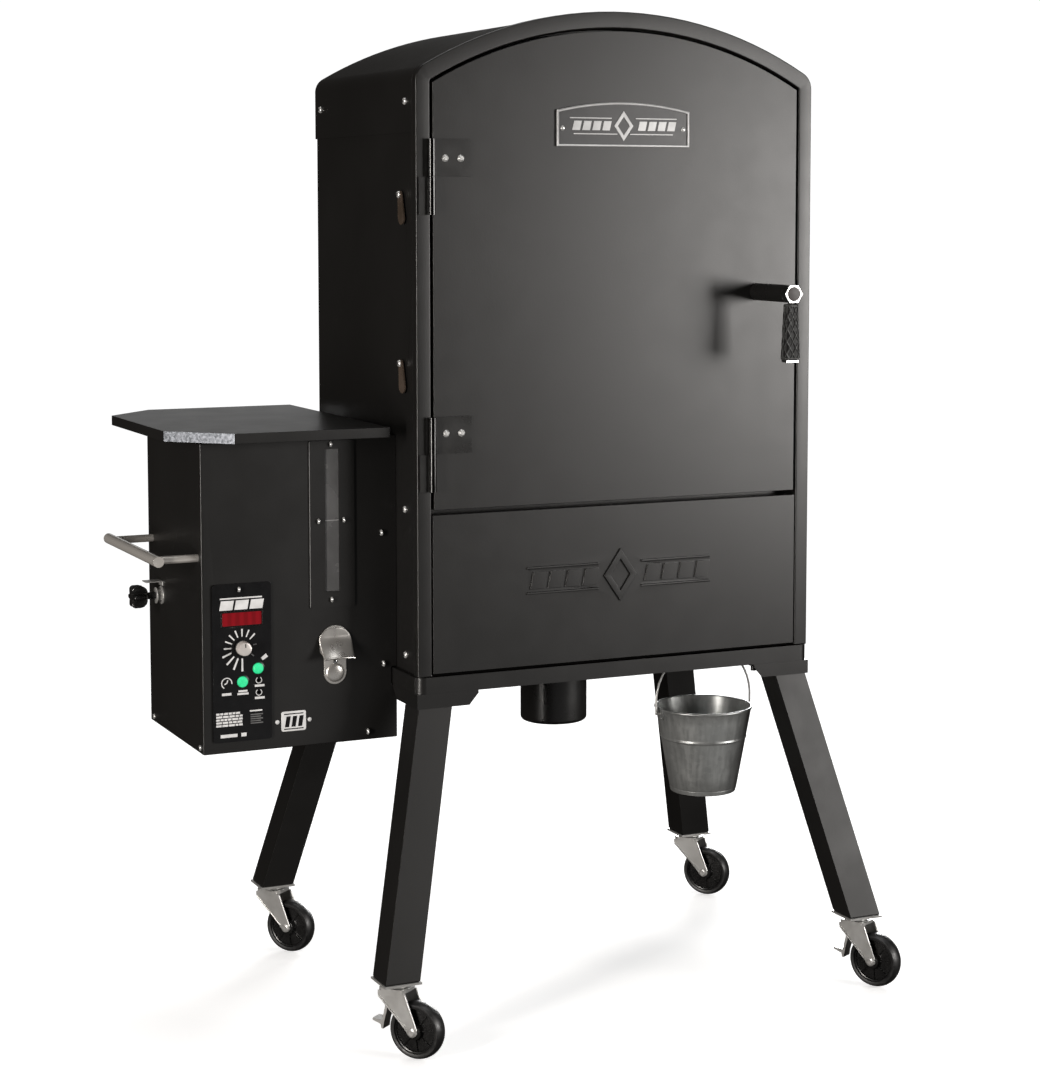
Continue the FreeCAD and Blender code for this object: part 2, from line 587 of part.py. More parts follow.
def draw_loop(sketch, loop):
    """Draw a closed loop of line_to and arc_to steps, each corner bound to its formulas."""
    first_edge = sketch.GeometryCount
    count = len(loop)
    for index, (x, y, radius, side) in enumerate(loop):
        before = loop[index - 1]
        start = FreeCAD.Vector(before[0].value, before[1].value, 0)
        end = FreeCAD.Vector(x.value, y.value, 0)
        if radius is None:
            sketch.addGeometry(Part.LineSegment(start, end), False)
            continue
        chord = end - start
        half = chord.Length / 2
        depth = math.sqrt(max(radius.value ** 2 - half ** 2, 0))
        right = FreeCAD.Vector(chord.y, -chord.x, 0).normalize()
        middle = (start + end) * 0.5 + right * side * (radius.value - depth)
        sketch.addGeometry(Part.Arc(start, middle, end), False)
    ends = []
    for index in range(count):
        edge = sketch.Geometry[first_edge + index]
        end = FreeCAD.Vector(loop[index][0].value, loop[index][1].value, 0)
        ends.append(2 if (edge.EndPoint - end).Length < 1e-6 else 1)
    for index in range(count):
        after = (index + 1) % count
        start_of_next = 3 - ends[after]
        sketch.addConstraint(Sketcher.Constraint(
            "Coincident", first_edge + index, ends[index], first_edge + after, start_of_next))
        x, y, radius, side = loop[index]
        for kind, value in (("DistanceX", x), ("DistanceY", y)):
            at = sketch.addConstraint(Sketcher.Constraint(
                kind, -1, 1, first_edge + index, ends[index], value.value))
            sketch.setExpression(f"Constraints[{at}]", value.text)
        if radius is not None:
            at = sketch.addConstraint(Sketcher.Constraint("Radius", first_edge + index, radius.value))
            sketch.setExpression(f"Constraints[{at}]", radius.text)


def draw_circle(sketch, x, y, radius):
    x, y, radius = size(x), size(y), size(radius)
    centre = FreeCAD.Vector(x.value, y.value, 0)
    edge = sketch.addGeometry(Part.Circle(centre, FreeCAD.Vector(0, 0, 1), radius.value), False)
    for kind, value in (("DistanceX", x), ("DistanceY", y)):
        at = sketch.addConstraint(Sketcher.Constraint(kind, -1, 1, edge, 3, value.value))
        sketch.setExpression(f"Constraints[{at}]", value.text)
    at = sketch.addConstraint(Sketcher.Constraint("Radius", edge, radius.value))
    sketch.setExpression(f"Constraints[{at}]", radius.text)


def rectangle(x0, x1, y0, y1, corner=None):
    """A rectangle's loop, with round corners if a radius is given."""
    x0, x1, y0, y1 = size(x0), size(x1), size(y0), size(y1)
    if corner is None:
        return [line_to(x0, y0), line_to(x1, y0), line_to(x1, y1), line_to(x0, y1)]
    corner = size(corner)
    return [line_to(x1 - corner, y0), arc_to(x1, y0 + corner, corner, 1),
            line_to(x1, y1 - corner), arc_to(x1 - corner, y1, corner, 1),
            line_to(x0 + corner, y1), arc_to(x0, y1 - corner, corner, 1),
            line_to(x0, y0 + corner), arc_to(x0 + corner, y0, corner, 1)]


def circle(x, y, radius):
    return ("circle", x, y, radius)


def arch(half, bottom, radius):
    """The cabinet's outline: a rectangle under an arch whose ends meet the sides in corners."""
    half, bottom, radius = size(half), size(bottom), size(radius)
    spring = dim("arch_z") + root(radius * radius - half * half)
    return [line_to(-half, bottom), line_to(half, bottom), line_to(half, spring),
            arc_to(-half, spring, radius, 1)]


def round_arch(half, bottom, radius, corner):
    """The same outline with its two upper corners rounded."""
    half, bottom, radius, corner = size(half), size(bottom), size(radius), size(corner)
    reach = radius - corner
    corner_x = half - corner
    rise = root(reach * reach - corner_x * corner_x)
    corner_z = dim("arch_z") + rise
    touch_x = corner_x * radius / reach
    touch_z = dim("arch_z") + rise * radius / reach
    return [line_to(-half, bottom), line_to(half, bottom), line_to(half, corner_z),
            arc_to(touch_x, touch_z, corner, 1), arc_to(-touch_x, touch_z, radius, 1),
            arc_to(-half, corner_z, corner, 1)]


def new_sketch(body, plane, offset, loops):
    sketch = body.newObject("Sketcher::SketchObject", "outline")
    plane_feature = [one for one in body.Origin.OriginFeatures if one.Role == plane][0]
    sketch.AttachmentSupport = [(plane_feature, "")]
    sketch.MapMode = "FlatFace"
    offset = -size(offset) if plane == "XZ_Plane" else size(offset)
    sketch.AttachmentOffset = FreeCAD.Placement(FreeCAD.Vector(0, 0, offset.value), UPRIGHT)
    sketch.setExpression("AttachmentOffset.Base.z", offset.text)
    for loop in loops:
        if loop[0] == "circle":
            draw_circle(sketch, *loop[1:])
        else:
            draw_loop(sketch, loop)
    return sketch


def new_body(name):
    return doc.addObject("PartDesign::Body", name)


def add_pad(body, plane, start, end, *loops):
    """Add a prism between two levels along the plane's own axis; inner loops are holes."""
    start, end = size(start), size(end)
    sketch = new_sketch(body, plane, start, loops)
    pad = body.newObject("PartDesign::Pad", "pad")
    pad.Profile = sketch
    pad.Reversed = plane == "XZ_Plane"
    bind(pad, Length=end - start)
    return body


def prism(name, plane, start, end, *loops):
    return add_pad(new_body(name), plane, start, end, *loops)


def turned(name, *loops):
    """A body of revolution about Y: each loop gives radius across and the place along Y."""
    body = new_body(name)
    sketch = new_sketch(body, "XY_Plane", ZERO, loops)
    revolution = body.newObject("PartDesign::Revolution", "turned")
    revolution.Profile = sketch
    revolution.ReferenceAxis = (sketch, ["V_Axis"])
    revolution.Angle = 360
    return body


def turned_up(name, *loops):
    """A body of revolution about Z: each loop gives radius across and the height."""
    body = new_body(name)
    sketch = new_sketch(body, "XZ_Plane", ZERO, loops)
    revolution = body.newObject("PartDesign::Revolution", "turned")
    revolution.Profile = sketch
    revolution.ReferenceAxis = (sketch, ["V_Axis"])
    revolution.Angle = 360
    return body


def frustum(name, low, high, inner=None):
    """A loft between two rectangles, each (x0, x1, y0, y1, z); inner gives the hollow's pair."""
    body = new_body(name)
    for kind, pair in (("AdditiveLoft", (low, high)), ("SubtractiveLoft", inner)):
        if pair is None:
            continue
        sketches = [new_sketch(body, "XY_Plane", z, [rectangle(x0, x1, y0, y1)])
                    for x0, x1, y0, y1, z in pair]
        loft = body.newObject(f"PartDesign::{kind}", "loft")
        loft.Profile = sketches[0]
        loft.Sections = [sketches[1]]
        loft.Ruled = True
    return body


# --- sizes that many pieces share --------------------------------------------------------------

t = dim("sheet")
half = dim("cab_width") / 2
depth = dim("cab_depth")
base_top = dim("base_bottom") + dim("base_height")
skin_half = half - dim("roof_inset")
skin_radius = dim("arch_radius") - dim("roof_inset")
open_half = half - dim("frame_band")
open_radius = dim("arch_radius") - dim("arch_band")
side_x = skin_half
wall_x = skin_half - t


# --- cabinet -----------------------------------------------------------------------------------

def front_frame():
    """Arched face frame: front band, outer flange, jamb, and the stop that the door shuts on."""
    outline = round_arch(half, base_top, dim("arch_radius"), dim("frame_round"))
    inside = round_arch(half - t, base_top + t, dim("arch_radius") - t, dim("frame_round") - t)
    opening = arch(open_half, base_top + t, open_radius)
    jamb = arch(open_half + t, base_top, open_radius + t)
    mouth = arch(open_half - dim("stop_width"), dim("door_sill"), open_radius - dim("stop_width"))
    body = prism("front_frame_body", "XZ_Plane", 0, t, outline, opening)
    add_pad(body, "XZ_Plane", t, dim("frame_return"), outline, inside)
    add_pad(body, "XZ_Plane", t, dim("frame_depth") - t, jamb, opening)
    add_pad(body, "XZ_Plane", dim("frame_depth") - t, dim("frame_depth"), jamb, mouth)
    return node("front_frame", body)


def roof_cover():
    """Arched wrap that laps over the side panels down to the seam."""
    corner = dim("frame_round") - dim("roof_inset")
    outside = round_arch(skin_half, dim("seam_z"), skin_radius, corner)
    inside = round_arch(skin_half - t, dim("seam_z"), skin_radius - t, corner - t)
    outer = prism("roof_outer", "XZ_Plane", t + dim("skin_gap"), depth, outside)
    inner = prism("roof_inner", "XZ_Plane", t, depth + t, inside)
    return node("roof_cover", cut(outer, inner))


def side_panel(label, side):
    """Flat side sheet; the left one has two probe ports and the auger's way in."""
    gap = dim("skin_gap")
    outer, inner = side * (side_x - t), side * (wall_x - t)
    low, high = (outer, inner) if side < 0 else (inner, outer)
    panel = box(low, high, t + gap, depth - t, base_top, dim("seam_z") + dim("seam_lap"))
    flange_way = box(low - gap, high + gap, t, dim("frame_return") + dim("flange_gap"),
                     base_top - gap, base_top + t)
    if side > 0:
        return node(label, cut(panel, flange_way))
    ports = [rod(dim("port_r"), t * 3, low - t, dim("flap_y") - dim("port_ahead"),
                 height - dim("flap_drop"), ALONG_X)
             for height in (dim("flap_high_z"), dim("flap_low_z"))]
    return node(label, cut(panel, flange_way, auger_way(t * 3, low - t), *ports))


def auger_way(length, x):
    """The hole that the feed tube goes through, starting at x."""
    return rod(dim("auger_r") + dim("tube_out"), length, x, dim("pot_y"), dim("auger_z"), ALONG_X)


def back_panel():
    """Arched back sheet with two rows of exhaust slots near the top."""
    body = prism("back_panel_body", "XZ_Plane", depth - t, depth,
                 arch(wall_x - t, base_top, skin_radius - t * 2 - dim("skin_gap")))
    slots = []
    for column in SLOT_COLUMNS:
        for row in (0, 1):
            middle = dim("slot_step") * column
            low = dim("seam_z") + dim("slot_rise") + dim("slot_row") * row
            slots.append(box(middle - dim("slot_wide") / 2, middle + dim("slot_wide") / 2,
                             depth - t * 2, depth + t, low, low + dim("slot_high")))
    return node("back_panel", cut(body, *slots))


def base_tray():
    """Floor of the cabinet with a skirt all round, and holes for ash and for the grease drain."""
    edge = half + dim("base_proud")
    front, back = -dim("base_proud"), depth + dim("base_proud")
    body = prism("base_outer", "XY_Plane", dim("base_bottom"), base_top,
                 rectangle(-edge, edge, front, back, dim("base_round")))
    hollow = prism("base_hollow", "XY_Plane", dim("base_bottom") - t, base_top - t,
                   rectangle(-edge + t, edge - t, front + t, back - t, dim("base_round") - t))
    ash = rod(dim("cup_r") - dim("ash_lip"), t * 4, -dim("pot_x"), dim("pot_y"), base_top - t * 2)
    return node("base_tray", cut(body, hollow, ash, drain_hole(base_top - t * 2)))


def drain_hole(z):
    """The grease drain's hole through a sheet, starting at z."""
    return rod(dim("drain_r"), t * 4, dim("bucket_x"), dim("bucket_y") + dim("drain_back"), z)


MOTIF = {"proud": 2.4, "lozenge_half": 26, "lozenge_high": 38, "lozenge_line": 0.6,
         "blocks": 4, "block_start": 39, "block_step": 27, "block_wide": 21, "block_high": 12,
         "lean": 5, "rule_near": 34, "rule_far": 146, "rule_gap": 18, "rule_half": 1.5}


def raised_motif(body, middle_z):
    """A lozenge ring between two rows of slanted blocks, with a rule above and below each row."""
    m = MOTIF
    loops = []
    for reach in (1, m["lozenge_line"]):
        wide, high = m["lozenge_half"] * reach, m["lozenge_high"] * reach
        loops.append([line_to(0, middle_z - high), line_to(wide, middle_z),
                      line_to(0, middle_z + high), line_to(-wide, middle_z)])
    add_pad(body, "XZ_Plane", -m["proud"], 0, *loops)
    low, high = middle_z - m["block_high"], middle_z + m["block_high"]
    for side in (-1, 1):
        for index in range(m["blocks"]):
            near = m["block_start"] + m["block_step"] * index
            left = near if side > 0 else -near - m["block_wide"]
            right = left + m["block_wide"]
            add_pad(body, "XZ_Plane", -m["proud"], 0,
                    [line_to(left, low), line_to(right, low), line_to(right + m["lean"], high),
                     line_to(left + m["lean"], high)])
        for height in (-m["rule_gap"], m["rule_gap"]):
            left, right = sorted((side * m["rule_near"], side * m["rule_far"]))
            add_pad(body, "XZ_Plane", -m["proud"], 0,
                    rectangle(left, right, middle_z + height - m["rule_half"],
                              middle_z + height + m["rule_half"]))


def lower_front_panel():
    """Panel under the door: a shallow pan with a raised motif."""
    edge = open_half - t
    low = base_top + t * 2
    top = dim("panel_top")
    body = prism("lower_panel_body", "XZ_Plane", 0, t, rectangle(-edge, edge, low, top))
    add_pad(body, "XZ_Plane", t, dim("panel_depth"), rectangle(-edge, edge, low, top),
            rectangle(-edge + t, edge - t, low + t, top - t))
    raised_motif(body, dim("motif_z"))
    return node("lower_front_panel", body)


def rack_rails():
    """Angle rails for the cooking racks, on two uprights down each side of the chamber."""
    solids = []
    for side in (-1, 1):
        wall = side * (wall_x - t)
        start = wall - side * dim("rail_start")
        pieces = []
        for y in (dim("upright_front"), dim("upright_back")):
            pieces.append(block_between(wall, wall - side * dim("upright_thick"),
                                        y, y + dim("upright_wide"),
                                        dim("door_sill"), dim("door_sill") + dim("upright_high")))
        for level in range(RACK_COUNT):
            height = dim("rack_low") + dim("rack_step") * level
            pieces.append(block_between(start, wall - side * dim("rail_reach"),
                                        dim("rail_front"), dim("rail_back"), height - t, height))
            pieces.append(block_between(start, start - side * t, dim("rail_front"), dim("rail_back"),
                                        height, height + dim("rail_lip")))
        solids.append(join(*pieces))
    return node("rack_rails", group(*solids))


def block_between(xa, xb, y0, y1, z0, z1):
    """A block whose two X limits may come in either order."""
    xa, xb = size(xa), size(xb)
    if xa.value > xb.value:
        xa, xb = xb, xa
    return box(xa, xb, y0, y1, z0, z1)


def cooking_racks():
    """Barred racks, one on each pair of rails."""
    racks = []
    edge = wall_x - t - dim("rack_clear")
    thick = dim("rack_bar")
    front, back = dim("rack_front"), dim("rack_back")
    step = (edge * 2 - thick) / RACK_GAPS
    for level in range(RACK_COUNT):
        low = dim("rack_low") + dim("rack_step") * level + dim("rack_lift")
        bars = [box(-edge, edge, y, y + thick, low, low + thick)
                for y in (front, dim("rack_middle"), back - thick)]
        for index in range(RACK_GAPS + 1):
            x = step * index - edge
            bars.append(box(x, x + thick, front, back, low, low + thick))
        racks.append(join(*bars))
    return node("cooking_racks", group(*racks))


def heat_deflector():
    """Folded plate above the fire pot that spreads the heat."""
    wide, edge, ridge = dim("deflector_half"), dim("deflector_edge"), dim("deflector_ridge")
    under = dim("deflector_sheet")
    body = prism("deflector_body", "XZ_Plane", dim("deflector_front"), dim("deflector_back"),
                 [line_to(-wide, edge), line_to(0, ridge), line_to(wide, edge),
                  line_to(wide, edge - under), line_to(0, ridge - under), line_to(-wide, edge - under)])
    outside = wide - dim("foot_in")
    feet = [box(x, x + dim("foot_thick"), y, y + dim("foot_wide"), base_top, edge + t)
            for x in (-outside, outside - dim("foot_thick"))
            for y in (dim("foot_front"), dim("foot_back"))]
    return node("heat_deflector", group(body, *feet))


def drip_tray():
    """Grease tray over the deflector; it is also the floor of the cooking chamber."""
    edge = wall_x - t - dim("tray_clear")
    front, back = dim("tray_front"), dim("tray_back")
    low, high = dim("tray_low"), dim("tray_high")
    outer = box(-edge, edge, front, back, low, high)
    inner = box(-edge + t, edge - t, front + t, back - t, low + t, high + t)
    return node("drip_tray", cut(outer, inner, drain_hole(low - t * 2)))


def burn_pot():
    """Fire pot over the ash opening, with the auger's inlet in its left wall."""
    radius, rim_r, wall = dim("pot_r"), dim("pot_rim_r"), dim("pot_wall")
    throat, top = dim("pot_throat_r"), dim("pot_top")
    floor = base_top + dim("skin_gap")
    pot = turned_up("burn_pot_body", [line_to(throat, floor), line_to(radius, floor),
                                      line_to(radius, top - wall), line_to(rim_r, top - wall),
                                      line_to(rim_r, top), line_to(radius - wall, top),
                                      line_to(radius - wall, floor + wall),
                                      line_to(throat, floor + wall)])
    put(pot, -dim("pot_x"), dim("pot_y"), 0)
    inlet = auger_way(dim("inlet_long"), -dim("pot_x") - radius - dim("inlet_out"))
    return node("burn_pot", cut(pot, inlet))


# --- hopper and fuel feed ----------------------------------------------------------------------

def hopper_outline(inset):
    """The hopper in plan: a rectangle with its rear left corner cut off."""
    inset = size(inset)
    left, right = -dim("hop_left") + inset, t - side_x - inset
    front, back = dim("hop_front") + inset, dim("hop_back") - inset
    corner = dim("hop_cut") - inset * (2 - math.sqrt(2))
    return [line_to(left, front), line_to(right, front), line_to(right, back),
            line_to(left + corner, back), line_to(left, back - corner)]


def hopper_notches(inset):
    """Room in the hopper's right side for the base tray's edge, the rear bracket and the leg."""
    inset = size(inset)
    room = dim("notch_room")
    right = -wall_x + PAST * 2
    back = dim("hop_back") + PAST
    top = base_top + room + inset
    tray_x = -half - dim("base_proud") - room - inset
    return [box(tray_x, right, dim("hop_front") - PAST, back, dim("base_bottom") - room - inset, top),
            box(tray_x - dim("leg_room"), right, depth - dim("leg_notch") - inset, back,
                dim("hop_bottom") - PAST, top)]


def hopper_shell():
    """Sheet box on the cabinet's left side that holds the bin, the feed and the controller."""
    outer = cut(prism("hopper_outer", "XY_Plane", dim("hop_bottom"), dim("hop_top"),
                      hopper_outline(0)), *hopper_notches(0))
    inner = cut(prism("hopper_inner", "XY_Plane", dim("hop_bottom") + t, dim("hop_top") + t,
                      hopper_outline(t)), *hopper_notches(t))
    pane = box(-dim("window_x") - dim("pane_wide") / 2, -dim("window_x") + dim("pane_wide") / 2,
               dim("hop_front") - t, dim("hop_front") + t * 2,
               dim("pane_low"), dim("pane_low") + dim("pane_high"))
    margin = dim("panel_margin")
    controls = box(-dim("panel_left") + margin, -dim("panel_left") + dim("panel_wide") - margin,
                   dim("hop_front") - t, dim("hop_front") + t * 2,
                   dim("panel_low") + margin, dim("panel_low") + dim("panel_high") - margin * 2)
    tube_way = auger_way(t * 4, -side_x - t * 2)
    knob_way = rod(dim("stem_r") + dim("stem_room"), t * 4, -dim("hop_left") - t,
                   dim("knob_y"), dim("knob_z"), ALONG_X)
    return node("hopper_shell", cut(outer, inner, pane, controls, tube_way, knob_way))


def hopper_bin():
    """Pellet funnel inside the shell, open at the top and over the auger."""
    gap = dim("bin_gap")
    left, right = -dim("hop_left") + gap, -side_x - gap
    wide = (left, right, dim("hop_front") + gap, dim("hop_back") - dim("hop_cut") - gap,
            dim("hop_top") - dim("bin_top_gap"))
    narrow = (left + dim("bin_slope"), right - dim("bin_slope"), dim("pot_y") - dim("bin_slot"),
              dim("pot_y") + dim("bin_slot"), dim("auger_z") + dim("bin_rise"))
    hollow_wide = (left + t, right - t, wide[2] + t, wide[3] - t, wide[4])
    hollow_narrow = (narrow[0] + t, narrow[1] - t, narrow[2] + t, narrow[3] - t, narrow[4])
    return node("hopper_bin", frustum("bin_body", narrow, wide, (hollow_narrow, hollow_wide)))


def auger_tube():
    """Tube from the bin to the fire pot, cut open under the bin."""
    left = -dim("hop_left") + dim("tube_start")
    right = -dim("pot_x") - dim("tube_end")
    tube = auger_way(right - left, left)
    bore = rod(dim("auger_r") + dim("tube_in"), right - left + PAST * 4, left - PAST * 2,
               dim("pot_y"), dim("auger_z"), ALONG_X)
    mouth = box(left + dim("mouth_start"), -side_x - dim("mouth_end"),
                dim("pot_y") - dim("mouth_half"), dim("pot_y") + dim("mouth_half"),
                dim("auger_z"), dim("auger_z") + dim("mouth_high"))
    return node("auger_tube", cut(tube, bore, mouth))


def auger_screw():
    """Feed screw: a core with a flight of flat turns set at an even pitch."""
    left = -dim("hop_left") + dim("screw_start")
    right = -dim("pot_x") - dim("screw_end")
    pitch = dim("flight_pitch")
    pieces = [rod(dim("core_r"), right - left, left, dim("pot_y"), dim("auger_z"), ALONG_X)]
    for turn in range(int((right - left).value / pitch.value)):
        x = left + dim("flight_first") + pitch * turn
        pieces.append(rod(dim("auger_r"), dim("flight_thick"), x, dim("pot_y"), dim("auger_z"), ALONG_X))
    return node("auger_screw", join(*pieces))


def auger_gear_motor():
    """Gear box and motor at the outer end of the auger."""
    left = -dim("hop_left") + t
    wide = dim("gear_half")
    gears = box(left, left + dim("gear_long"), dim("pot_y") - wide, dim("pot_y") + wide,
                dim("auger_z") - dim("gear_down"), dim("auger_z") + dim("gear_up"))
    motor = rod(dim("motor_r"), dim("motor_long"), left + dim("motor_in"), dim("pot_y") + wide,
                dim("auger_z") - dim("motor_down"), ALONG_Y)
    return node("auger_gear_motor", join(gears, motor))


def fan_housing():
    """Blower casing under the bin, open on its left face."""
    x, y, z = -dim("hop_left") + dim("fan_x"), dim("fan_y"), dim("fan_z")
    wall, deep = dim("fan_wall"), dim("fan_deep")
    casing = rod(dim("fan_r"), deep, x, y, z, ALONG_X)
    room = rod(dim("fan_r") - wall, deep - wall, x - dim("skin_gap"), y, z, ALONG_X)
    outlet = box(x + t, x + deep - t, y + dim("outlet_start"), y + dim("outlet_end"),
                 z - dim("outlet_down"), z + dim("outlet_up"))
    return node("fan_housing", cut(join(casing, outlet), room))


def fan_impeller():
    """Blower wheel: a disc with straight blades."""
    x = -dim("hop_left") + dim("fan_x") + dim("impeller_in")
    y, z, deep = dim("fan_y"), dim("fan_z"), dim("impeller_deep")
    disc = rod(dim("impeller_r"), dim("disc_thick"), x + deep, y, z, ALONG_X)
    hub = rod(dim("impeller_hub_r"), deep, x, y, z, ALONG_X)
    blades = []
    for index in range(BLADES):
        blade = doc.addObject("Part::Box", "blade")
        bind(blade, Length=dim("blade_long"), Width=dim("blade_wide"), Height=dim("blade_thick"))
        angle = 360 / BLADES * index
        across, up = math.cos(math.radians(angle)), math.sin(math.radians(angle))
        put(blade, x + dim("blade_in"), y + dim("blade_foot") * across, z + dim("blade_foot") * up,
            FreeCAD.Rotation(FreeCAD.Vector(1, 0, 0), angle))
        blades.append(blade)
    return node("fan_impeller", join(disc, hub, *blades))


def temperature_probe():
    """Sensor rod in the chamber, through the back panel's upper half."""
    x, z, back = -dim("probe_x"), dim("probe_z"), depth - t
    rod_piece = rod(dim("probe_r"), dim("probe_long"), x, back - dim("probe_long"), z, ALONG_Y)
    flange = rod(dim("probe_flange_r"), dim("probe_flange"), x, back - dim("probe_flange"), z, ALONG_Y)
    return node("temperature_probe", join(rod_piece, flange))


def hopper_lid():
    """Hopper lid: a shallow pan upside down, with both left corners cut off and a hinge barrel."""
    top = dim("lid_under") + dim("lid_thick")

    def outline(inset):
        inset = size(inset)
        left, right = -dim("lid_left") + inset, -dim("lid_right") - inset
        front, back = dim("lid_front") + inset, dim("lid_back") - inset
        corner = dim("lid_cut") - inset * (2 - math.sqrt(2))
        return [line_to(left + corner, front), line_to(right, front), line_to(right, back),
                line_to(left + corner, back), line_to(left, back - corner),
                line_to(left, front + corner)]

    pan = prism("lid_pan", "XY_Plane", dim("lid_under"), top, outline(0))
    hollow = prism("lid_hollow", "XY_Plane", dim("lid_under") - t, top - t, outline(t))
    start, long = -dim("barrel_left"), dim("barrel_long")
    pin_y, pin_z = dim("lid_pin_y"), dim("lid_pin_z")
    web = box(start, start + long, pin_y - dim("web_half"), pin_y + dim("web_half"), pin_z, top - t)
    barrel = rod(dim("barrel_r"), long, start, pin_y, pin_z, ALONG_X)
    bore = rod(dim("lid_pin_r") + dim("fit_gap"), long + PAST * 4, start - PAST * 2, pin_y, pin_z,
               ALONG_X)
    return node("hopper_lid", cut(join(cut(pan, hollow), web, barrel), bore))


def lid_hinge_pin():
    """Pin of the lid's hinge in two lugs on the hopper's back wall."""
    thick, gap, pin_z = dim("lug_thick"), dim("lug_gap"), dim("lid_pin_z")
    left = -dim("barrel_left") - gap - thick
    right = -dim("barrel_left") + dim("barrel_long") + gap
    pin = rod(dim("lid_pin_r"), right + thick - left, left, dim("lid_pin_y"), pin_z, ALONG_X)
    lugs = [box(x, x + thick, dim("hop_back"), dim("lid_pin_y") + dim("lug_back"),
                pin_z - dim("lug_drop"), pin_z + dim("lug_rise")) for x in (left, right)]
    return node("lid_hinge_pin", join(pin, *lugs))


def front_plate(x0, x1, z0, z1, corner, *holes):
    """A plate that lies on the hopper's front face."""
    return prism("plate", "XZ_Plane", dim("hop_front") - dim("plate_thick"), dim("hop_front"),
                 rectangle(x0, x1, z0, z1, corner), *holes)


def window_frame():
    """Plate with a long slot for the pane."""
    middle, edge, slot = -dim("window_x"), dim("window_wide") / 2, dim("pane_wide") / 2
    pane = rectangle(middle - slot, middle + slot, dim("pane_low"), dim("pane_low") + dim("pane_high"))
    plate = front_plate(middle - edge, middle + edge, dim("window_low"),
                        dim("window_low") + dim("window_high"), dim("window_round"), pane)
    return node("window_frame", plate)


def window_pane():
    """Clear pane in the slot, a little smaller than the slot."""
    middle, gap = -dim("window_x"), dim("pane_gap")
    reach = dim("pane_wide") / 2 - gap
    pane = box(middle - reach, middle + reach,
               dim("hop_front") - dim("pane_proud"), dim("hop_front") + t,
               dim("pane_low") + gap, dim("pane_low") + dim("pane_high") - gap)
    return node("window_pane", pane)


def control_panel():
    """Controller's face plate with its dial and button holes, and two probe sockets."""
    left, low = -dim("panel_left"), dim("panel_low")
    button_hole = dim("button_r") + dim("button_gap")
    plate = front_plate(left, left + dim("panel_wide"), low, low + dim("panel_high"),
                        dim("panel_round"),
                        circle(-dim("dial_x"), dim("dial_z"), dim("dial_spindle_r") + dim("fit_gap")),
                        circle(-dim("power_x"), dim("power_z"), button_hole),
                        circle(-dim("feed_x"), dim("feed_z"), button_hole),
                        circle(-dim("socket_x"), dim("socket_low"), dim("socket_r")),
                        circle(-dim("socket_x"), dim("socket_high"), dim("socket_r")))
    return node("control_panel", plate)


def dial_knob():
    """Temperature knob: a short waisted drum with a spindle behind it."""
    out, radius, bevel = dim("dial_out"), dim("dial_r"), dim("dial_round")
    spindle_r, gap = dim("dial_spindle_r"), dim("dial_gap")
    knob = turned("dial_knob_body", [line_to(0, -out), line_to(radius - bevel, -out),
                                     arc_to(radius, bevel - out, bevel, 1),
                                     line_to(dim("dial_waist"), -out / 2),
                                     line_to(dim("dial_foot"), -gap),
                                     line_to(spindle_r, -gap), line_to(spindle_r, dim("dial_spindle")),
                                     line_to(0, dim("dial_spindle"))])
    put(knob, -dim("dial_x"), dim("hop_front") - dim("plate_thick"), dim("dial_z"))
    return node("dial_knob", knob)


def push_button(label, x, z):
    """Round push button with a domed face and a flange behind the panel."""
    radius, flange, seat = dim("button_r"), dim("button_flange"), dim("button_seat")
    button = turned(f"{label}_body", [line_to(0, -dim("button_crown")),
                                      line_to(radius - dim("button_slope"), -dim("button_shoulder")),
                                      arc_to(radius, -dim("button_edge"), dim("button_round"), 1),
                                      line_to(radius, seat), line_to(radius + flange, seat),
                                      line_to(radius + flange, seat + flange),
                                      line_to(0, seat + flange)])
    put(button, x, dim("hop_front") - dim("plate_thick"), z)
    return node(label, button)


HOOD_SECTION = [(2, 8), (14, -2), (22, -19), (22, -24), (19, -24), (17.5, -19), (11, -5), (2, 3)]


def bottle_opener():
    """Wall-mounted opener: a domed plate with a hooked lip and a lower tongue."""
    middle, face = -dim("opener_x"), dim("hop_front")
    narrow, wide, hood_half = dim("tongue_half"), dim("dome_half"), dim("hood_half")
    low, neck = dim("tongue_low"), dim("tongue_top")
    dome_low, dome_top = dim("dome_low"), dim("dome_top")
    plate = prism("opener_plate", "XZ_Plane", face - dim("plate_thick"), face,
                  [line_to(middle - narrow, low), arc_to(middle + narrow, low, dim("tongue_r"), 1),
                   line_to(middle + narrow, neck), line_to(middle + wide, dome_low),
                   line_to(middle + wide, dome_top), arc_to(middle - wide, dome_top, dim("dome_r"), 1),
                   line_to(middle - wide, dome_low), line_to(middle - narrow, neck)])
    hood = prism("opener_hood", "YZ_Plane", middle - hood_half, middle + hood_half,
                 [line_to(face - out, dome_top + up) for out, up in HOOD_SECTION])
    return node("bottle_opener", join(plate, hood))


def hopper_side_handle():
    """Stainless bar on two posts; the cabinet is pushed by it."""
    x, front, back, z = -dim("bar_x"), dim("bar_front"), dim("bar_back"), dim("bar_z")
    bar = rod(dim("bar_r"), back - front, x, front, z, ALONG_Y)
    posts = [rod(dim("post_r"), dim("bar_x") - dim("hop_left"), x, y, z, ALONG_X)
             for y in (front + dim("post_front"), back - dim("post_back"))]
    return node("hopper_side_handle", join(bar, *posts))


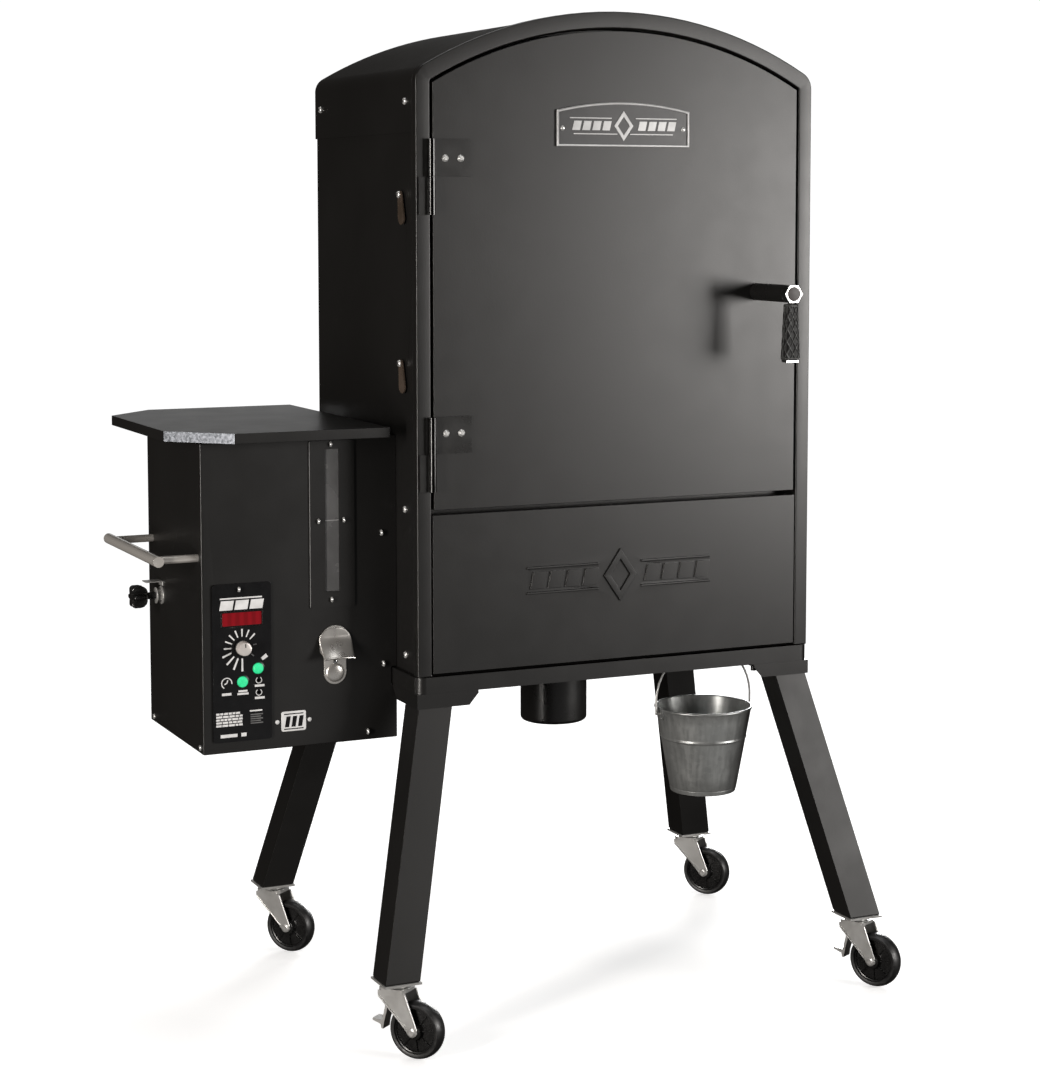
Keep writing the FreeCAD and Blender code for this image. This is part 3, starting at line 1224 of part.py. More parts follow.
def clean_out_knob():
    """Star knob that clamps the pellet clean-out, with its screw through the hopper's wall."""
    face = -dim("hop_left") - dim("star_out")
    y, z, lobe_inset = dim("knob_y"), dim("knob_z"), (dim("star_deep") - dim("lobe_deep")) / 2
    core = rod(dim("star_r"), dim("star_deep"), face, y, z, ALONG_X)
    lobes = []
    for index in range(STAR_LOBES):
        angle = math.tau / STAR_LOBES * index
        lobes.append(rod(dim("lobe_r"), dim("lobe_deep"), face + lobe_inset,
                         y + dim("lobe_at") * math.cos(angle), z + dim("lobe_at") * math.sin(angle),
                         ALONG_X))
    stem = rod(dim("stem_r"), dim("stem_long"), face + lobe_inset * 3, y, z, ALONG_X)
    return node("clean_out_knob", join(core, stem, *lobes))


def power_inlet():
    """Mains inlet on the back of the hopper."""
    back, left, low = dim("hop_back"), -dim("inlet_left"), dim("inlet_low")
    right, high = left + dim("inlet_wide"), low + dim("inlet_high")
    side, rim, pin, deep = dim("inlet_side"), dim("inlet_rim"), dim("inlet_pin"), dim("inlet_deep")
    body = box(left, right, back, back + deep, low, high)
    recess = box(left + side, right - side, back + t, back + deep + dim("skin_gap"),
                 low + rim, high - rim)
    pins = []
    for index in (0, 1, 2):
        x = left + side + rim + dim("inlet_pin_step") * index
        pins.append(box(x, x + pin, back + dim("skin_gap"), back + dim("inlet_pin_long"),
                        low + rim * 2, high - rim * 2))
    return node("power_inlet", join(cut(body, recess), *pins))


# --- door --------------------------------------------------------------------------------------

def door_outline(inset):
    inset = size(inset)
    return arch(open_half - dim("door_gap") - inset, dim("door_bottom") + inset,
                open_radius - dim("door_gap") - inset)


def door_skin():
    """Door pan: the arched front sheet with its edges folded back."""
    pan = prism("door_outer", "XZ_Plane", 0, dim("door_depth"), door_outline(0))
    hollow = prism("door_hollow", "XZ_Plane", t, dim("door_depth") + t, door_outline(t))
    return node("door_skin", cut(pan, hollow, spindle_hole(-PAST)))


def spindle_hole(y):
    """The handle spindle's hole through a door sheet, starting at y."""
    return rod(dim("spindle_hole_r"), PAST * 4, dim("handle_x"), y, dim("handle_z"), ALONG_Y)


def door_liner():
    """Flat inner sheet on the pan's folded edges."""
    sheet_piece = prism("liner_body", "XZ_Plane", dim("door_depth"), dim("door_depth") + t,
                        door_outline(dim("skin_gap")))
    return node("door_liner", cut(sheet_piece, spindle_hole(dim("door_depth") - PAST)))


def door_gasket():
    """Woven rope seal round the back of the door."""
    back = dim("door_depth") + t
    return node("door_gasket", prism("gasket_body", "XZ_Plane", back, back + dim("seal_thick"),
                                     door_outline(dim("seal_in")),
                                     door_outline(dim("seal_in") + dim("seal_wide"))))


def hinge_pair(side):
    """Both hinges' leaves on one side: -1 on the frame with its pins, 1 on the door."""
    solids = []
    x, y, tall, thick = -dim("hinge_x"), -dim("hinge_y"), dim("leaf_high"), dim("leaf_thick")
    for top in (dim("hinge_top"), dim("hinge_low")):
        high = top if side > 0 else top - tall - dim("knuckle_gap")
        low = high - tall
        knuckle = rod(dim("knuckle_r"), tall, x, y, low)
        if side > 0:
            leaf = box(x, -dim("leaf_door"), -thick, 0, low, high)
            bore = rod(dim("pin_r") + dim("fit_gap"), tall + t * 2, x, y, low - t)
            solids.append(cut(join(knuckle, leaf), bore))
        else:
            leaf = box(-dim("leaf_frame"), x, -thick, 0, low, high)
            pin = rod(dim("pin_r"), tall * 2 + dim("knuckle_gap"), x, y, low)
            solids.append(join(knuckle, leaf, pin))
    return solids


CABINET_SCREW_R = 5.0
HEAD_TOP, HEAD_HIGH = 0.55, 0.6  # a screw head's flat top and its height, over its radius


def dome_screw(x, y, z, turn, radius=CABINET_SCREW_R):
    """A low round screw head; unturned it points up from its seat."""
    head = doc.addObject("Part::Cone", "head")
    bind(head, Radius1=radius, Radius2=radius * HEAD_TOP, Height=radius * HEAD_HIGH)
    return put(head, x, y, z, turn)


FACE_FRONT = FreeCAD.Rotation(FreeCAD.Vector(1, 0, 0), 90)
FACE_LEFT = FreeCAD.Rotation(FreeCAD.Vector(0, 1, 0), -90)
FACE_RIGHT = FreeCAD.Rotation(FreeCAD.Vector(0, 1, 0), 90)


def door_hinge_leaves():
    """Door halves of the two hinges, with their screws."""
    screws = [dome_screw(-x, -dim("leaf_thick"), top - dim("leaf_screw_drop"), FACE_FRONT)
              for top in (dim("hinge_top"), dim("hinge_low") + dim("leaf_screw_low"))
              for x in (dim("leaf_screw_near"), dim("leaf_screw_far"))]
    return node("door_hinge_leaves", group(*hinge_pair(HINGE_SIDES["door"]), *screws))


def frame_hinges():
    """Frame halves of the two hinges, with the pins that the door drops on to."""
    return node("frame_hinges", group(*hinge_pair(HINGE_SIDES["frame"])))


def door_nameplate():
    """Arched plate with a raised rim and two rivets."""
    middle = dim("nameplate_x")
    wide = dim("nameplate_wide") / 2
    low = dim("nameplate_low")

    def outline(inset):
        inset = size(inset)
        high = low + dim("nameplate_high") - inset
        return [line_to(middle - wide + inset, low + inset),
                line_to(middle + wide - inset, low + inset),
                line_to(middle + wide - inset, high),
                arc_to(middle - wide + inset, high, dim("nameplate_radius"), 1)]

    thick = dim("nameplate_thick")
    body = prism("nameplate_body", "XZ_Plane", -thick, 0, outline(0))
    add_pad(body, "XZ_Plane", -dim("nameplate_rim"), -thick, outline(0),
            outline(dim("nameplate_border")))
    rivets = [dome_screw(middle + sign * dim("rivet_x"), -thick, low + dim("rivet_z"), FACE_FRONT,
                         dim("rivet_r")) for sign in (-1, 1)]
    return node("door_nameplate", group(body, *rivets))


def handle_shaft():
    """Handle spindle through the door, its latch tongue, and the stem that carries the grip.

    The tongue points up while the grip hangs, and reaches behind the door stop after a quarter turn.
    """
    x, z, reach = dim("handle_x"), dim("handle_z"), dim("handle_reach")
    start = dim("shaft_start")
    barrel = rod(dim("shaft_r"), reach - start - dim("shaft_gap"), x, start - reach, z, ALONG_Y)
    nut = doc.addObject("Part::Prism", "nut")
    nut.Polygon = 6
    bind(nut, Circumradius=dim("nut_r"), Height=dim("nut_long"))
    put(nut, x, -reach - dim("nut_out"), z, ALONG_Y)
    spindle = rod(dim("spindle_r"), dim("spindle_long"), x, -dim("spindle_start"), z, ALONG_Y)
    side, behind = dim("tongue_wide") / 2, dim("frame_depth") + dim("tongue_gap")
    tongue = box(x - side, x + side, behind, behind + dim("tongue_thick"), z - side,
                 z + dim("tongue_reach"))
    foot, grip_y = z - dim("grip_drop") - dim("grip_long"), dim("grip_in") - reach
    stem = rod(dim("stem_wire_r"), dim("grip_long") + dim("grip_drop"), x, grip_y, foot)
    cap = box(x - dim("cap_half_x"), x + dim("cap_half_x"), grip_y - dim("cap_half_y"),
              grip_y + dim("cap_half_y"), foot - dim("grip_cap"), foot)
    return node("handle_shaft", join(barrel, nut, spindle, tongue, stem, cap))


def handle_grip():
    """Tapered moulded grip on the stem."""
    x, y = dim("handle_x"), dim("grip_in") - dim("handle_reach")
    top = dim("handle_z") - dim("grip_drop")
    ends = []
    for end, z in (("low", top - dim("grip_long")), ("high", top - dim("grip_gap"))):
        wide, deep = dim(f"grip_{end}_x"), dim(f"grip_{end}_y")
        ends.append((x - wide, x + wide, y - deep, y + deep, z))
    grip = frustum("grip_body", *ends)
    stem = rod(dim("stem_wire_r"), dim("grip_long") + PAST * 4, x, y, top - t - dim("grip_long"))
    return node("handle_grip", cut(grip, stem))


# --- things that hang --------------------------------------------------------------------------

def probe_flap(label, height):
    """Drop-shaped cover that hangs from its screw over a probe port."""
    y, low, neck = dim("flap_y"), height - dim("flap_drop"), dim("flap_neck")
    inner = -side_x - dim("flap_gap")
    body = prism(f"{label}_body", "YZ_Plane", inner - dim("flap_thick"), inner,
                 [line_to(y - dim("flap_front"), low),
                  arc_to(y + dim("flap_behind"), low, dim("flap_r"), 1),
                  line_to(y + neck, height), arc_to(y - neck, height, dim("flap_neck_r"), 1)],
                 circle(y, height, dim("flap_pin_r") + dim("fit_gap")))
    return node(label, body)


HOPPER_SCREW_R, PLATE_SCREW_R = 4.5, 4.0
ROOF_SCREW_Z = 1297.0
ROOF_SCREW_Y = (47.0, 386.0)
SIDE_SCREW_Y = 58.0
SIDE_SCREW_Z = (733.0, 528.0)
HOPPER_SCREWS = ((-327.0, 698.0), (-325.0, 512.0), (-349.0, 417.0))
PLATE_SCREWS = ((-402.5, 826.0), (-421.0, 719.5), (-384.0, 719.5), (-402.5, 609.0), (-537.0, 632.0))
HOPPER_SIDE_SCREW_Y = (105.0, 333.0)
HOPPER_SIDE_SCREW_Z = 413.0


def body_screws():
    """Every round-headed screw on the cabinet and the hopper, and the flaps' pivots."""
    screws = []
    for y in ROOF_SCREW_Y:
        screws.append(dome_screw(-side_x, y, ROOF_SCREW_Z, FACE_LEFT))
        screws.append(dome_screw(side_x, y, ROOF_SCREW_Z, FACE_RIGHT))
    for z in SIDE_SCREW_Z:
        screws.append(dome_screw(t - side_x, SIDE_SCREW_Y, z, FACE_LEFT))
        screws.append(dome_screw(side_x - t, SIDE_SCREW_Y, z, FACE_RIGHT))
    for height in (dim("flap_high_z"), dim("flap_low_z")):
        under_head = -side_x - dim("flap_head")
        pivot = rod(dim("flap_pin_r"), dim("flap_pin"), under_head, dim("flap_y"), height, ALONG_X)
        screws.append(join(pivot, dome_screw(under_head, dim("flap_y"), height, FACE_LEFT)))
    front = dim("hop_front")
    for x, z in HOPPER_SCREWS:
        screws.append(dome_screw(x, front, z, FACE_FRONT, HOPPER_SCREW_R))
    for x, z in PLATE_SCREWS:
        screws.append(dome_screw(x, front - dim("plate_thick"), z, FACE_FRONT, PLATE_SCREW_R))
    for y in HOPPER_SIDE_SCREW_Y:
        screws.append(dome_screw(-dim("hop_left"), y, HOPPER_SIDE_SCREW_Z, FACE_LEFT, PLATE_SCREW_R))
    return node("body_screws", group(*screws))


def ash_cup():
    """Deep cup under the fire pot with a rim that locks under the floor."""
    radius, low, high = dim("cup_r"), dim("cup_low"), base_top - t - dim("skin_gap")
    bend, rim = dim("cup_round"), dim("cup_rim")
    cup = turned_up("ash_cup_body", [line_to(0, low), line_to(radius - bend, low),
                                     arc_to(radius, low + bend, bend, 1), line_to(radius, high - t),
                                     line_to(radius + rim, high - t), line_to(radius + rim, high),
                                     line_to(radius - t, high), line_to(radius - t, low + t),
                                     line_to(0, low + t)])
    put(cup, -dim("pot_x"), dim("pot_y"), 0)
    return node("ash_cup", cup)


def grease_bucket():
    """Tapered pail with a rolled rim and two ears."""
    x, y = dim("bucket_x"), dim("bucket_y")
    rim, low = dim("bucket_rim"), dim("bucket_low")
    rim_r, low_r = dim("bucket_rim_r"), dim("bucket_low_r")
    wall, foot, skirt = dim("pail_wall"), dim("pail_foot"), dim("pail_skirt")
    roll, roll_low = dim("pail_roll"), rim - dim("pail_roll_high")
    pail = turned_up("bucket_body", [line_to(0, low + foot), line_to(low_r - skirt, low + foot),
                                     line_to(low_r - skirt, low), line_to(low_r, low),
                                     line_to(rim_r - roll, roll_low), line_to(rim_r + roll, roll_low),
                                     line_to(rim_r + roll, rim), line_to(rim_r - wall - roll, rim),
                                     line_to(low_r - wall, low + foot + wall),
                                     line_to(0, low + foot + wall)])
    put(pail, x, y, 0)
    across, thick = dim("ear_half"), dim("ear_thick") / 2
    ears = []
    for sign in (-1, 1):
        middle = x + sign * (rim_r + roll)
        ears.append(box(middle - thick, middle + thick, y - across, y + across,
                        rim - dim("ear_high"), rim))
    hollow = doc.addObject("Part::Cone", "ear_trim")
    bind(hollow, Radius1=low_r - wall, Radius2=rim_r - wall - roll, Height=rim - low - foot - wall)
    put(hollow, x, y, low + foot + wall)
    bore = rod(dim("bail_wire") + dim("fit_gap"), rim_r * 2 + PAST * 4, x - rim_r - PAST * 2,
               y, rim - dim("bail_drop"), ALONG_X)
    return node("grease_bucket", cut(join(pail, *ears), hollow, bore))


BEND_SWELL = 1.15  # the bail's bends, over the wire's own radius


def bucket_bail():
    """Wire bail: two ends through the bucket's ears, joined by a tall half ring."""
    x, y = dim("bucket_x").value, dim("bucket_y").value
    wire = dim("bail_wire").value
    foot = dim("bail_foot").value
    pivot_z = (dim("bucket_rim") - dim("bail_drop")).value
    reach = (dim("bucket_rim_r") + dim("bail_out")).value
    top_z = (dim("hook_z") + dim("hook_r") + dim("bail_slack")).value + wire
    leg_z = top_z - reach
    left_foot = FreeCAD.Vector(x - reach, y, pivot_z)
    right_foot = FreeCAD.Vector(x + reach, y, pivot_z)
    left_knee = FreeCAD.Vector(x - reach, y, leg_z)
    right_knee = FreeCAD.Vector(x + reach, y, leg_z)
    crown = FreeCAD.Vector(x, y, top_z)
    path = Part.Wire([Part.LineSegment(left_foot, left_knee).toShape(),
                      Part.Arc(left_knee, crown, right_knee).toShape(),
                      Part.LineSegment(right_knee, right_foot).toShape()])
    section = Part.Wire([Part.Circle(left_foot, FreeCAD.Vector(0, 0, 1), wire).toShape()])
    bow = path.makePipeShell([section], True, True)
    pins = [Part.makeCylinder(wire, foot, FreeCAD.Vector(x + start, y, pivot_z), FreeCAD.Vector(1, 0, 0))
            for start in (-reach, reach - foot)]
    balls = [Part.makeSphere(wire * BEND_SWELL, place) for place in (left_foot, right_foot)]
    bail = doc.addObject("Part::Feature", "bail_wire_shape")
    bail.Shape = bow.fuse(pins + balls).removeSplitter()
    return node("bucket_bail", bail)


def bucket_hanger():
    """Bracket under the floor whose pin carries the bail, and the grease spout behind it."""
    x, y, z = dim("bucket_x"), dim("bucket_y"), dim("hook_z")
    wide, back, floor = dim("hook_plate_half"), y + dim("hook_plate_back"), base_top - t
    plate = box(x - wide, x + wide, back, back + dim("hook_plate"), z - dim("hook_plate_drop"), floor)
    pin = rod(dim("hook_r"), dim("hook_long"), x, y - dim("hook_ahead"), z, ALONG_Y)
    stop = rod(dim("hook_stop_r"), dim("hook_stop"), x, y - dim("hook_ahead") - dim("hook_stop"), z,
               ALONG_Y)
    spout_y, long = y + dim("drain_back"), dim("spout_long")
    spout = rod(dim("spout_r"), long, x, spout_y, floor - long)
    spout_bore = rod(dim("spout_bore_r"), long + t * 4, x, spout_y, floor - long - t * 2)
    return node("bucket_hanger", group(join(plate, pin, stop), cut(spout, spout_bore)))


# --- legs and casters --------------------------------------------------------------------------

def corner_at(signs, along):
    """A leg axis' X and Y at the top (along 0) or at the foot (along 1)."""
    sign_x, sign_y = signs
    out = half - dim("leg_top_in") + dim("leg_splay") * along
    reach = depth / 2 - dim("leg_top_in") + dim("leg_splay") * along
    return out * sign_x, depth / 2 + reach * sign_y


def legs():
    """Four square tubes that lean outwards both ways."""
    tubes = []
    h = dim("leg_side") / 2
    top_z = dim("base_bottom") - dim("bracket_thick")
    for name, signs in CORNERS.items():
        top_x, top_y = corner_at(signs, 0)
        foot_x, foot_y = corner_at(signs, 1)
        low = (foot_x - h, foot_x + h, foot_y - h, foot_y + h, dim("leg_foot"))
        high = (top_x - h, top_x + h, top_y - h, top_y + h, top_z)
        inner = h - t
        low_in = (foot_x - inner, foot_x + inner, foot_y - inner, foot_y + inner, dim("leg_foot"))
        high_in = (top_x - inner, top_x + inner, top_y - inner, top_y + inner, top_z)
        tubes.append(frustum(f"leg_{name}", low, high, (low_in, high_in)))
    return node("legs", group(*tubes))


def leg_brackets():
    """Corner brackets: a plate under the base with two flanges outside the leg's top."""
    brackets = []
    thick, wide, flange = dim("bracket_thick"), dim("bracket_wide"), dim("bracket_flange")
    top, low = dim("base_bottom") - dim("bracket_thick"), dim("base_bottom") - dim("bracket_drop")
    slant, far, near = dim("bracket_slant"), dim("bolt_far"), dim("bolt_near")
    bolt_z = top - dim("bolt_long")
    for name, (sign_x, sign_y) in CORNERS.items():
        outer_x = (half + dim("bracket_out")) * sign_x
        outer_y = depth / 2 + (depth / 2 + dim("bracket_out")) * sign_y
        inner_x, inner_y = outer_x - wide * sign_x, outer_y - wide * sign_y
        plate = box(*ordered(outer_x, inner_x), *ordered(outer_y, inner_y), top, top + thick)
        front = prism(f"flange_y_{name}", "XZ_Plane", *ordered(outer_y, outer_y - flange * sign_y),
                      [line_to(outer_x, top), line_to(inner_x, top),
                       line_to(inner_x + slant * sign_x, low), line_to(outer_x, low)])
        side = prism(f"flange_x_{name}", "YZ_Plane", *ordered(outer_x, outer_x - flange * sign_x),
                     [line_to(outer_y, top), line_to(inner_y, top),
                      line_to(inner_y + slant * sign_y, low), line_to(outer_y, low)])
        bolts = [rod(dim("bolt_r"), dim("bolt_long"), outer_x - across * sign_x,
                     outer_y - along * sign_y, bolt_z) for across, along in ((far, near), (near, far))]
        brackets.append(join(plate, front, side, *bolts))
    return node("leg_brackets", group(*brackets))


def ordered(a, b):
    a, b = size(a), size(b)
    return (a, b) if a.value < b.value else (b, a)


def caster_plates():
    """Mounting plates under the legs with the kingpins that the forks turn on."""
    plates = []
    foot, wide = dim("leg_foot"), dim("mount_half")
    for signs in CORNERS.values():
        x, y = corner_at(signs, 1)
        plate = box(x - wide, x + wide, y - wide, y + wide, foot - dim("mount_thick"), foot)
        race = rod(dim("race_r"), dim("race_high"), x, y, foot - dim("race_foot"))
        pin = rod(dim("kingpin_r"), dim("pin_foot") - dim("race_foot"), x, y, foot - dim("pin_foot"))
        plates.append(join(plate, race, pin))
    return node("caster_plates", group(*plates))


def caster_fork(name, signs):
    """Swivel fork in its own frame: the kingpin at 0, the axle one trail along X."""
    x, y = corner_at(signs, 1)
    top = dim("leg_foot") - dim("crown_drop")
    crown_low = top - dim("crown_thick")
    back, front = -dim("crown_back"), dim("crown_front")
    inner, outer = dim("fork_inner"), dim("fork_inner") + dim("fork_sheet")
    axle_z = dim("wheel_r")
    crown = prism(f"crown_{name}", "XY_Plane", crown_low, top,
                  rectangle(back, front, -outer, outer, dim("crown_round")),
                  circle(0, 0, dim("kingpin_r") + dim("fit_gap")))
    cheek = [line_to(dim("trail") - dim("cheek_half"), axle_z),
             arc_to(dim("trail") + dim("cheek_half"), axle_z, dim("cheek_r"), 1),
             line_to(front, crown_low), line_to(back, crown_low), line_to(back, top - dim("cheek_back"))]
    cheeks = [prism(f"cheek_{name}_{index}", "XZ_Plane", start, start + dim("fork_sheet"), cheek)
              for index, start in enumerate((-outer, inner))]
    proud = dim("axle_proud")
    axle = rod(dim("axle_r"), (outer + proud) * 2, dim("trail"), -outer - proud, axle_z, ALONG_Y)
    fork = join(crown, axle, *cheeks)
    turn = FreeCAD.Rotation(FreeCAD.Vector(0, 0, 1), CASTER_TURN[name])
    put(fork, x, y, 0, turn)
    return node(f"caster_fork_{name}", fork)


def caster_wheel(name, signs):
    """Wheel on its own axis: a hub, a web and a rounded tread."""
    x, y = corner_at(signs, 1)
    angle = size(CASTER_TURN[name])
    face, radius = dim("wheel_half"), dim("wheel_r")
    bore, tread = dim("axle_r") + dim("fit_gap"), radius - dim("tread_edge")
    hub_r, hub_out = dim("hub_r"), face + dim("hub_proud")
    hub_foot, web_hub, web_r, web_rim = dim("hub_foot_r"), dim("web_hub"), dim("web_r"), dim("web_rim")
    rim_r, rim_out = dim("rim_r"), face - dim("rim_in")
    wheel = turned(f"wheel_{name}", [
        line_to(bore, -hub_out), line_to(hub_r, -hub_out), line_to(hub_foot, -web_hub),
        line_to(web_r, -web_rim), line_to(rim_r, -rim_out), line_to(tread, -face),
        arc_to(tread, face, dim("tread_r"), 1), line_to(rim_r, rim_out), line_to(web_r, web_rim),
        line_to(hub_foot, web_hub), line_to(hub_r, hub_out), line_to(bore, hub_out)])
    put(wheel, x + dim("trail") * cosine(angle), y + dim("trail") * sine(angle), radius,
        FreeCAD.Rotation(FreeCAD.Vector(0, 0, 1), angle.value))
    return node(f"caster_wheel_{name}", wheel)


LEVER_SECTION = [(-10, 82), (-6, 82), (-10, 64), (-15, 44), (-16, 36), (-19, 36), (-20, 42),
                 (-33, 46), (-33, 49), (-18, 48), (-14, 64)]


def caster_brake(name, signs):
    """Pedal on the fork that presses a pad on the tread."""
    x, y = corner_at(signs, 1)
    wide, long = dim("lever_half"), dim("lever_pin_long")
    lever = prism(f"brake_{name}_body", "XZ_Plane", -wide, wide,
                  [line_to(back, height) for back, height in LEVER_SECTION])
    pin = rod(dim("lever_pin_r"), long, -dim("lever_pin_x"), -long / 2, dim("lever_pin_z"), ALONG_Y)
    brake = join(lever, pin)
    put(brake, x, y, 0, FreeCAD.Rotation(FreeCAD.Vector(0, 0, 1), CASTER_TURN[name]))
    return node(f"caster_brake_{name}", brake)


# --- build, check and write --------------------------------------------------------------------

front_frame()
roof_cover()
side_panel("left_side_panel", -1)
side_panel("right_side_panel", 1)
back_panel()
base_tray()
lower_front_panel()
rack_rails()
cooking_racks()
heat_deflector()
drip_tray()
burn_pot()
hopper_shell()
hopper_bin()
auger_tube()
auger_screw()
auger_gear_motor()
fan_housing()
fan_impeller()
temperature_probe()
hopper_lid()
lid_hinge_pin()
window_frame()
window_pane()
control_panel()
dial_knob()
push_button("power_button", -dim("power_x"), dim("power_z"))
push_button("feed_button", -dim("feed_x"), dim("feed_z"))
bottle_opener()
hopper_side_handle()
clean_out_knob()
power_inlet()
door_skin()
door_liner()
door_gasket()
door_hinge_leaves()
frame_hinges()
door_nameplate()
handle_shaft()
handle_grip()
probe_flap("probe_flap_upper", dim("flap_high_z"))
probe_flap("probe_flap_lower", dim("flap_low_z"))
body_screws()
ash_cup()
grease_bucket()
bucket_bail()
bucket_hanger()
legs()
leg_brackets()
caster_plates()
for corner_name, corner_signs in CORNERS.items():
    caster_fork(corner_name, corner_signs)
    caster_wheel(corner_name, corner_signs)
    if corner_signs[1] < 0:
        caster_brake(corner_name, corner_signs)

doc.recompute()
problems = [f"{thing.Label}: {thing.State}" for thing in doc.Objects
            if "Invalid" in thing.State or "Error" in thing.State]
for thing in nodes:
    if thing.Shape.isNull() or not thing.Shape.isValid() or not thing.Shape.Solids:
        problems.append(f"{thing.Label}: no valid solid")
if problems:
    print("\n".join(problems))
    sys.exit(1)

os.makedirs("parts", exist_ok=True)
whole = FreeCAD.BoundBox()
for thing in nodes:
    thing.Shape.exportStep(f"parts/{thing.Label}.step")
    whole.add(thing.Shape.BoundBox)
print(f"{len(nodes)} pieces, X {whole.XMin:.2f} to {whole.XMax:.2f}, Y {whole.YMin:.2f} to "
      f"{whole.YMax:.2f}, Z {whole.ZMin:.2f} to {whole.ZMax:.2f}")
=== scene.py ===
"""Looks of the wood-pellet cabinet smoker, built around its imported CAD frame."""
import json
import math
import random

import bmesh
import bpy
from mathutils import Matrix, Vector


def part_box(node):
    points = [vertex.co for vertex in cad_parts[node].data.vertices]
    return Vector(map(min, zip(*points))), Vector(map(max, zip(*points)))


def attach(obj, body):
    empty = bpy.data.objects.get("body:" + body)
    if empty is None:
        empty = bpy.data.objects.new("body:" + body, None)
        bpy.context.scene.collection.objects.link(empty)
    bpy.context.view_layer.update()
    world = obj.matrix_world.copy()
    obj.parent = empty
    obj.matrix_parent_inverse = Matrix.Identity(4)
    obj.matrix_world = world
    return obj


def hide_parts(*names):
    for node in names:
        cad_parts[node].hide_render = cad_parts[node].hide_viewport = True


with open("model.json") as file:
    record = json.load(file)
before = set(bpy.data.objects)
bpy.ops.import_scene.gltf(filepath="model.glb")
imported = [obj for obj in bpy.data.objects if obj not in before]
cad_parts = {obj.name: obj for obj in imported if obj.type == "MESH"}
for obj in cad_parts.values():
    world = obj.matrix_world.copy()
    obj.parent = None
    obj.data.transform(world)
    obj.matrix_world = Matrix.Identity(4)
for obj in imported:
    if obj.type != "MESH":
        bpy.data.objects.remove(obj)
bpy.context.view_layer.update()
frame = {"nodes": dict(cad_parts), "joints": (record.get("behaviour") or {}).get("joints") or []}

MM = 0.001
face_low, face_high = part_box("front_frame")
DATUM = Vector(((face_low.x + face_high.x) / 2, face_low.y, 0))


def at(x, y, z):
    """A point in mm from the floor under the middle of the cabinet's front face."""
    return DATUM + Vector((x, y, z)) * MM


def mm_box(node):
    """A CAD node's box in the same millimetres, as (x0, x1, y0, y1, z0, z1)."""
    low, high = [(corner - DATUM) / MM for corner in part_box(node)]
    return low.x, high.x, low.y, high.y, low.z, high.z


# --- materials ---

class Tree:
    """A material's node tree with short ways to add what most finishes need."""

    def __init__(self, name, **sockets):
        self.material = bpy.data.materials.new(name)
        self.material.use_nodes = True
        self.nodes = self.material.node_tree.nodes
        self.links = self.material.node_tree.links
        self.shader = self.nodes["Principled BSDF"]
        for key, value in sockets.items():
            self.shader.inputs[key.replace("_", " ").title().replace("Ior", "IOR")].default_value = value
        self.place = self.nodes.new("ShaderNodeTexCoord").outputs["Object"]

    def add(self, kind, inputs=None, **settings):
        made = self.nodes.new("ShaderNode" + kind)
        for key, value in settings.items():
            setattr(made, key, value)
        for key, value in (inputs or {}).items():
            if isinstance(value, bpy.types.NodeSocket):
                self.links.new(value, made.inputs[key])
            else:
                made.inputs[key].default_value = value
        return made

    def noise(self, scale, detail=3.0, stretch=None):
        where = self.place
        if stretch:
            where = self.add("Mapping", {"Vector": where, "Scale": stretch}).outputs["Vector"]
        return self.add("TexNoise", {"Vector": where, "Scale": scale, "Detail": detail}).outputs["Fac"]

    def between(self, factor, low, high, start=0.35, end=0.65):
        """A number that follows the factor from low to high."""
        return self.add("MapRange", {"Value": factor, "From Min": start, "From Max": end,
                                     "To Min": low, "To Max": high}).outputs["Result"]

    def ramp(self, factor, *stops):
        made = self.add("ValToRGB", {"Fac": factor})
        elements = made.color_ramp.elements
        while len(elements) < len(stops):
            elements.new(0.5)
        for element, (place, colour) in zip(elements, stops):
            element.position = place
            element.color = (*colour, 1)
        return made.outputs["Color"]

    def set(self, socket, value):
        self.links.new(value, self.shader.inputs[socket])

    def bump(self, height, strength, distance, under=None):
        inputs = {"Height": height, "Strength": strength, "Distance": distance}
        if under is not None:
            inputs["Normal"] = under
        return self.add("Bump", inputs).outputs["Normal"]


def finish(name, dark, light, rough, tone=5.0, grain=600.0, strength=0.2, depth=0.0002,
           stretch=None, **sockets):
    """A finish whose colour and roughness wander a little and whose skin has a fine grain."""
    tree = Tree(name, **sockets)
    broad = tree.noise(tone, 4.0, stretch)
    tree.set("Base Color", tree.ramp(broad, (0.35, dark), (0.65, light)))
    tree.set("Roughness", tree.between(tree.noise(tone * 7, 3.0, stretch), *rough))
    tree.set("Normal", tree.bump(tree.noise(grain, 2.0, stretch), strength, depth))
    return tree


def powder_coat(name, rough, shine=0.5):
    """Satin black powder coat: a soft orange peel with a much finer sparkle on it."""
    tree = finish(name, (0.007, 0.0067, 0.0064), (0.0105, 0.0101, 0.0097), rough, tone=3.0,
                  grain=1500.0, strength=0.16, depth=0.0001, specular_ior_level=shine)
    fine = tree.shader.inputs["Normal"].links[0].from_socket
    peel = tree.bump(tree.noise(330.0, 2.0), 0.2, 0.0002, fine)
    tree.set("Normal", peel)
    return tree.material


def brushed(name, dark, light, rough, stretch, metal):
    """Bare metal with brush lines along one way."""
    tree = finish(name, dark, light, rough, tone=9.0, grain=900.0, strength=0.16, depth=0.0001,
                  stretch=stretch, metallic=metal)
    return tree.material


def zinc():
    """Zinc plate: pale steel with faint warm blooms."""
    tree = finish("zinc_plated", (0.5, 0.495, 0.48), (0.62, 0.62, 0.61), (0.3, 0.38), tone=24.0,
                  grain=1500.0, strength=0.03, metallic=0.6)
    return tree.material


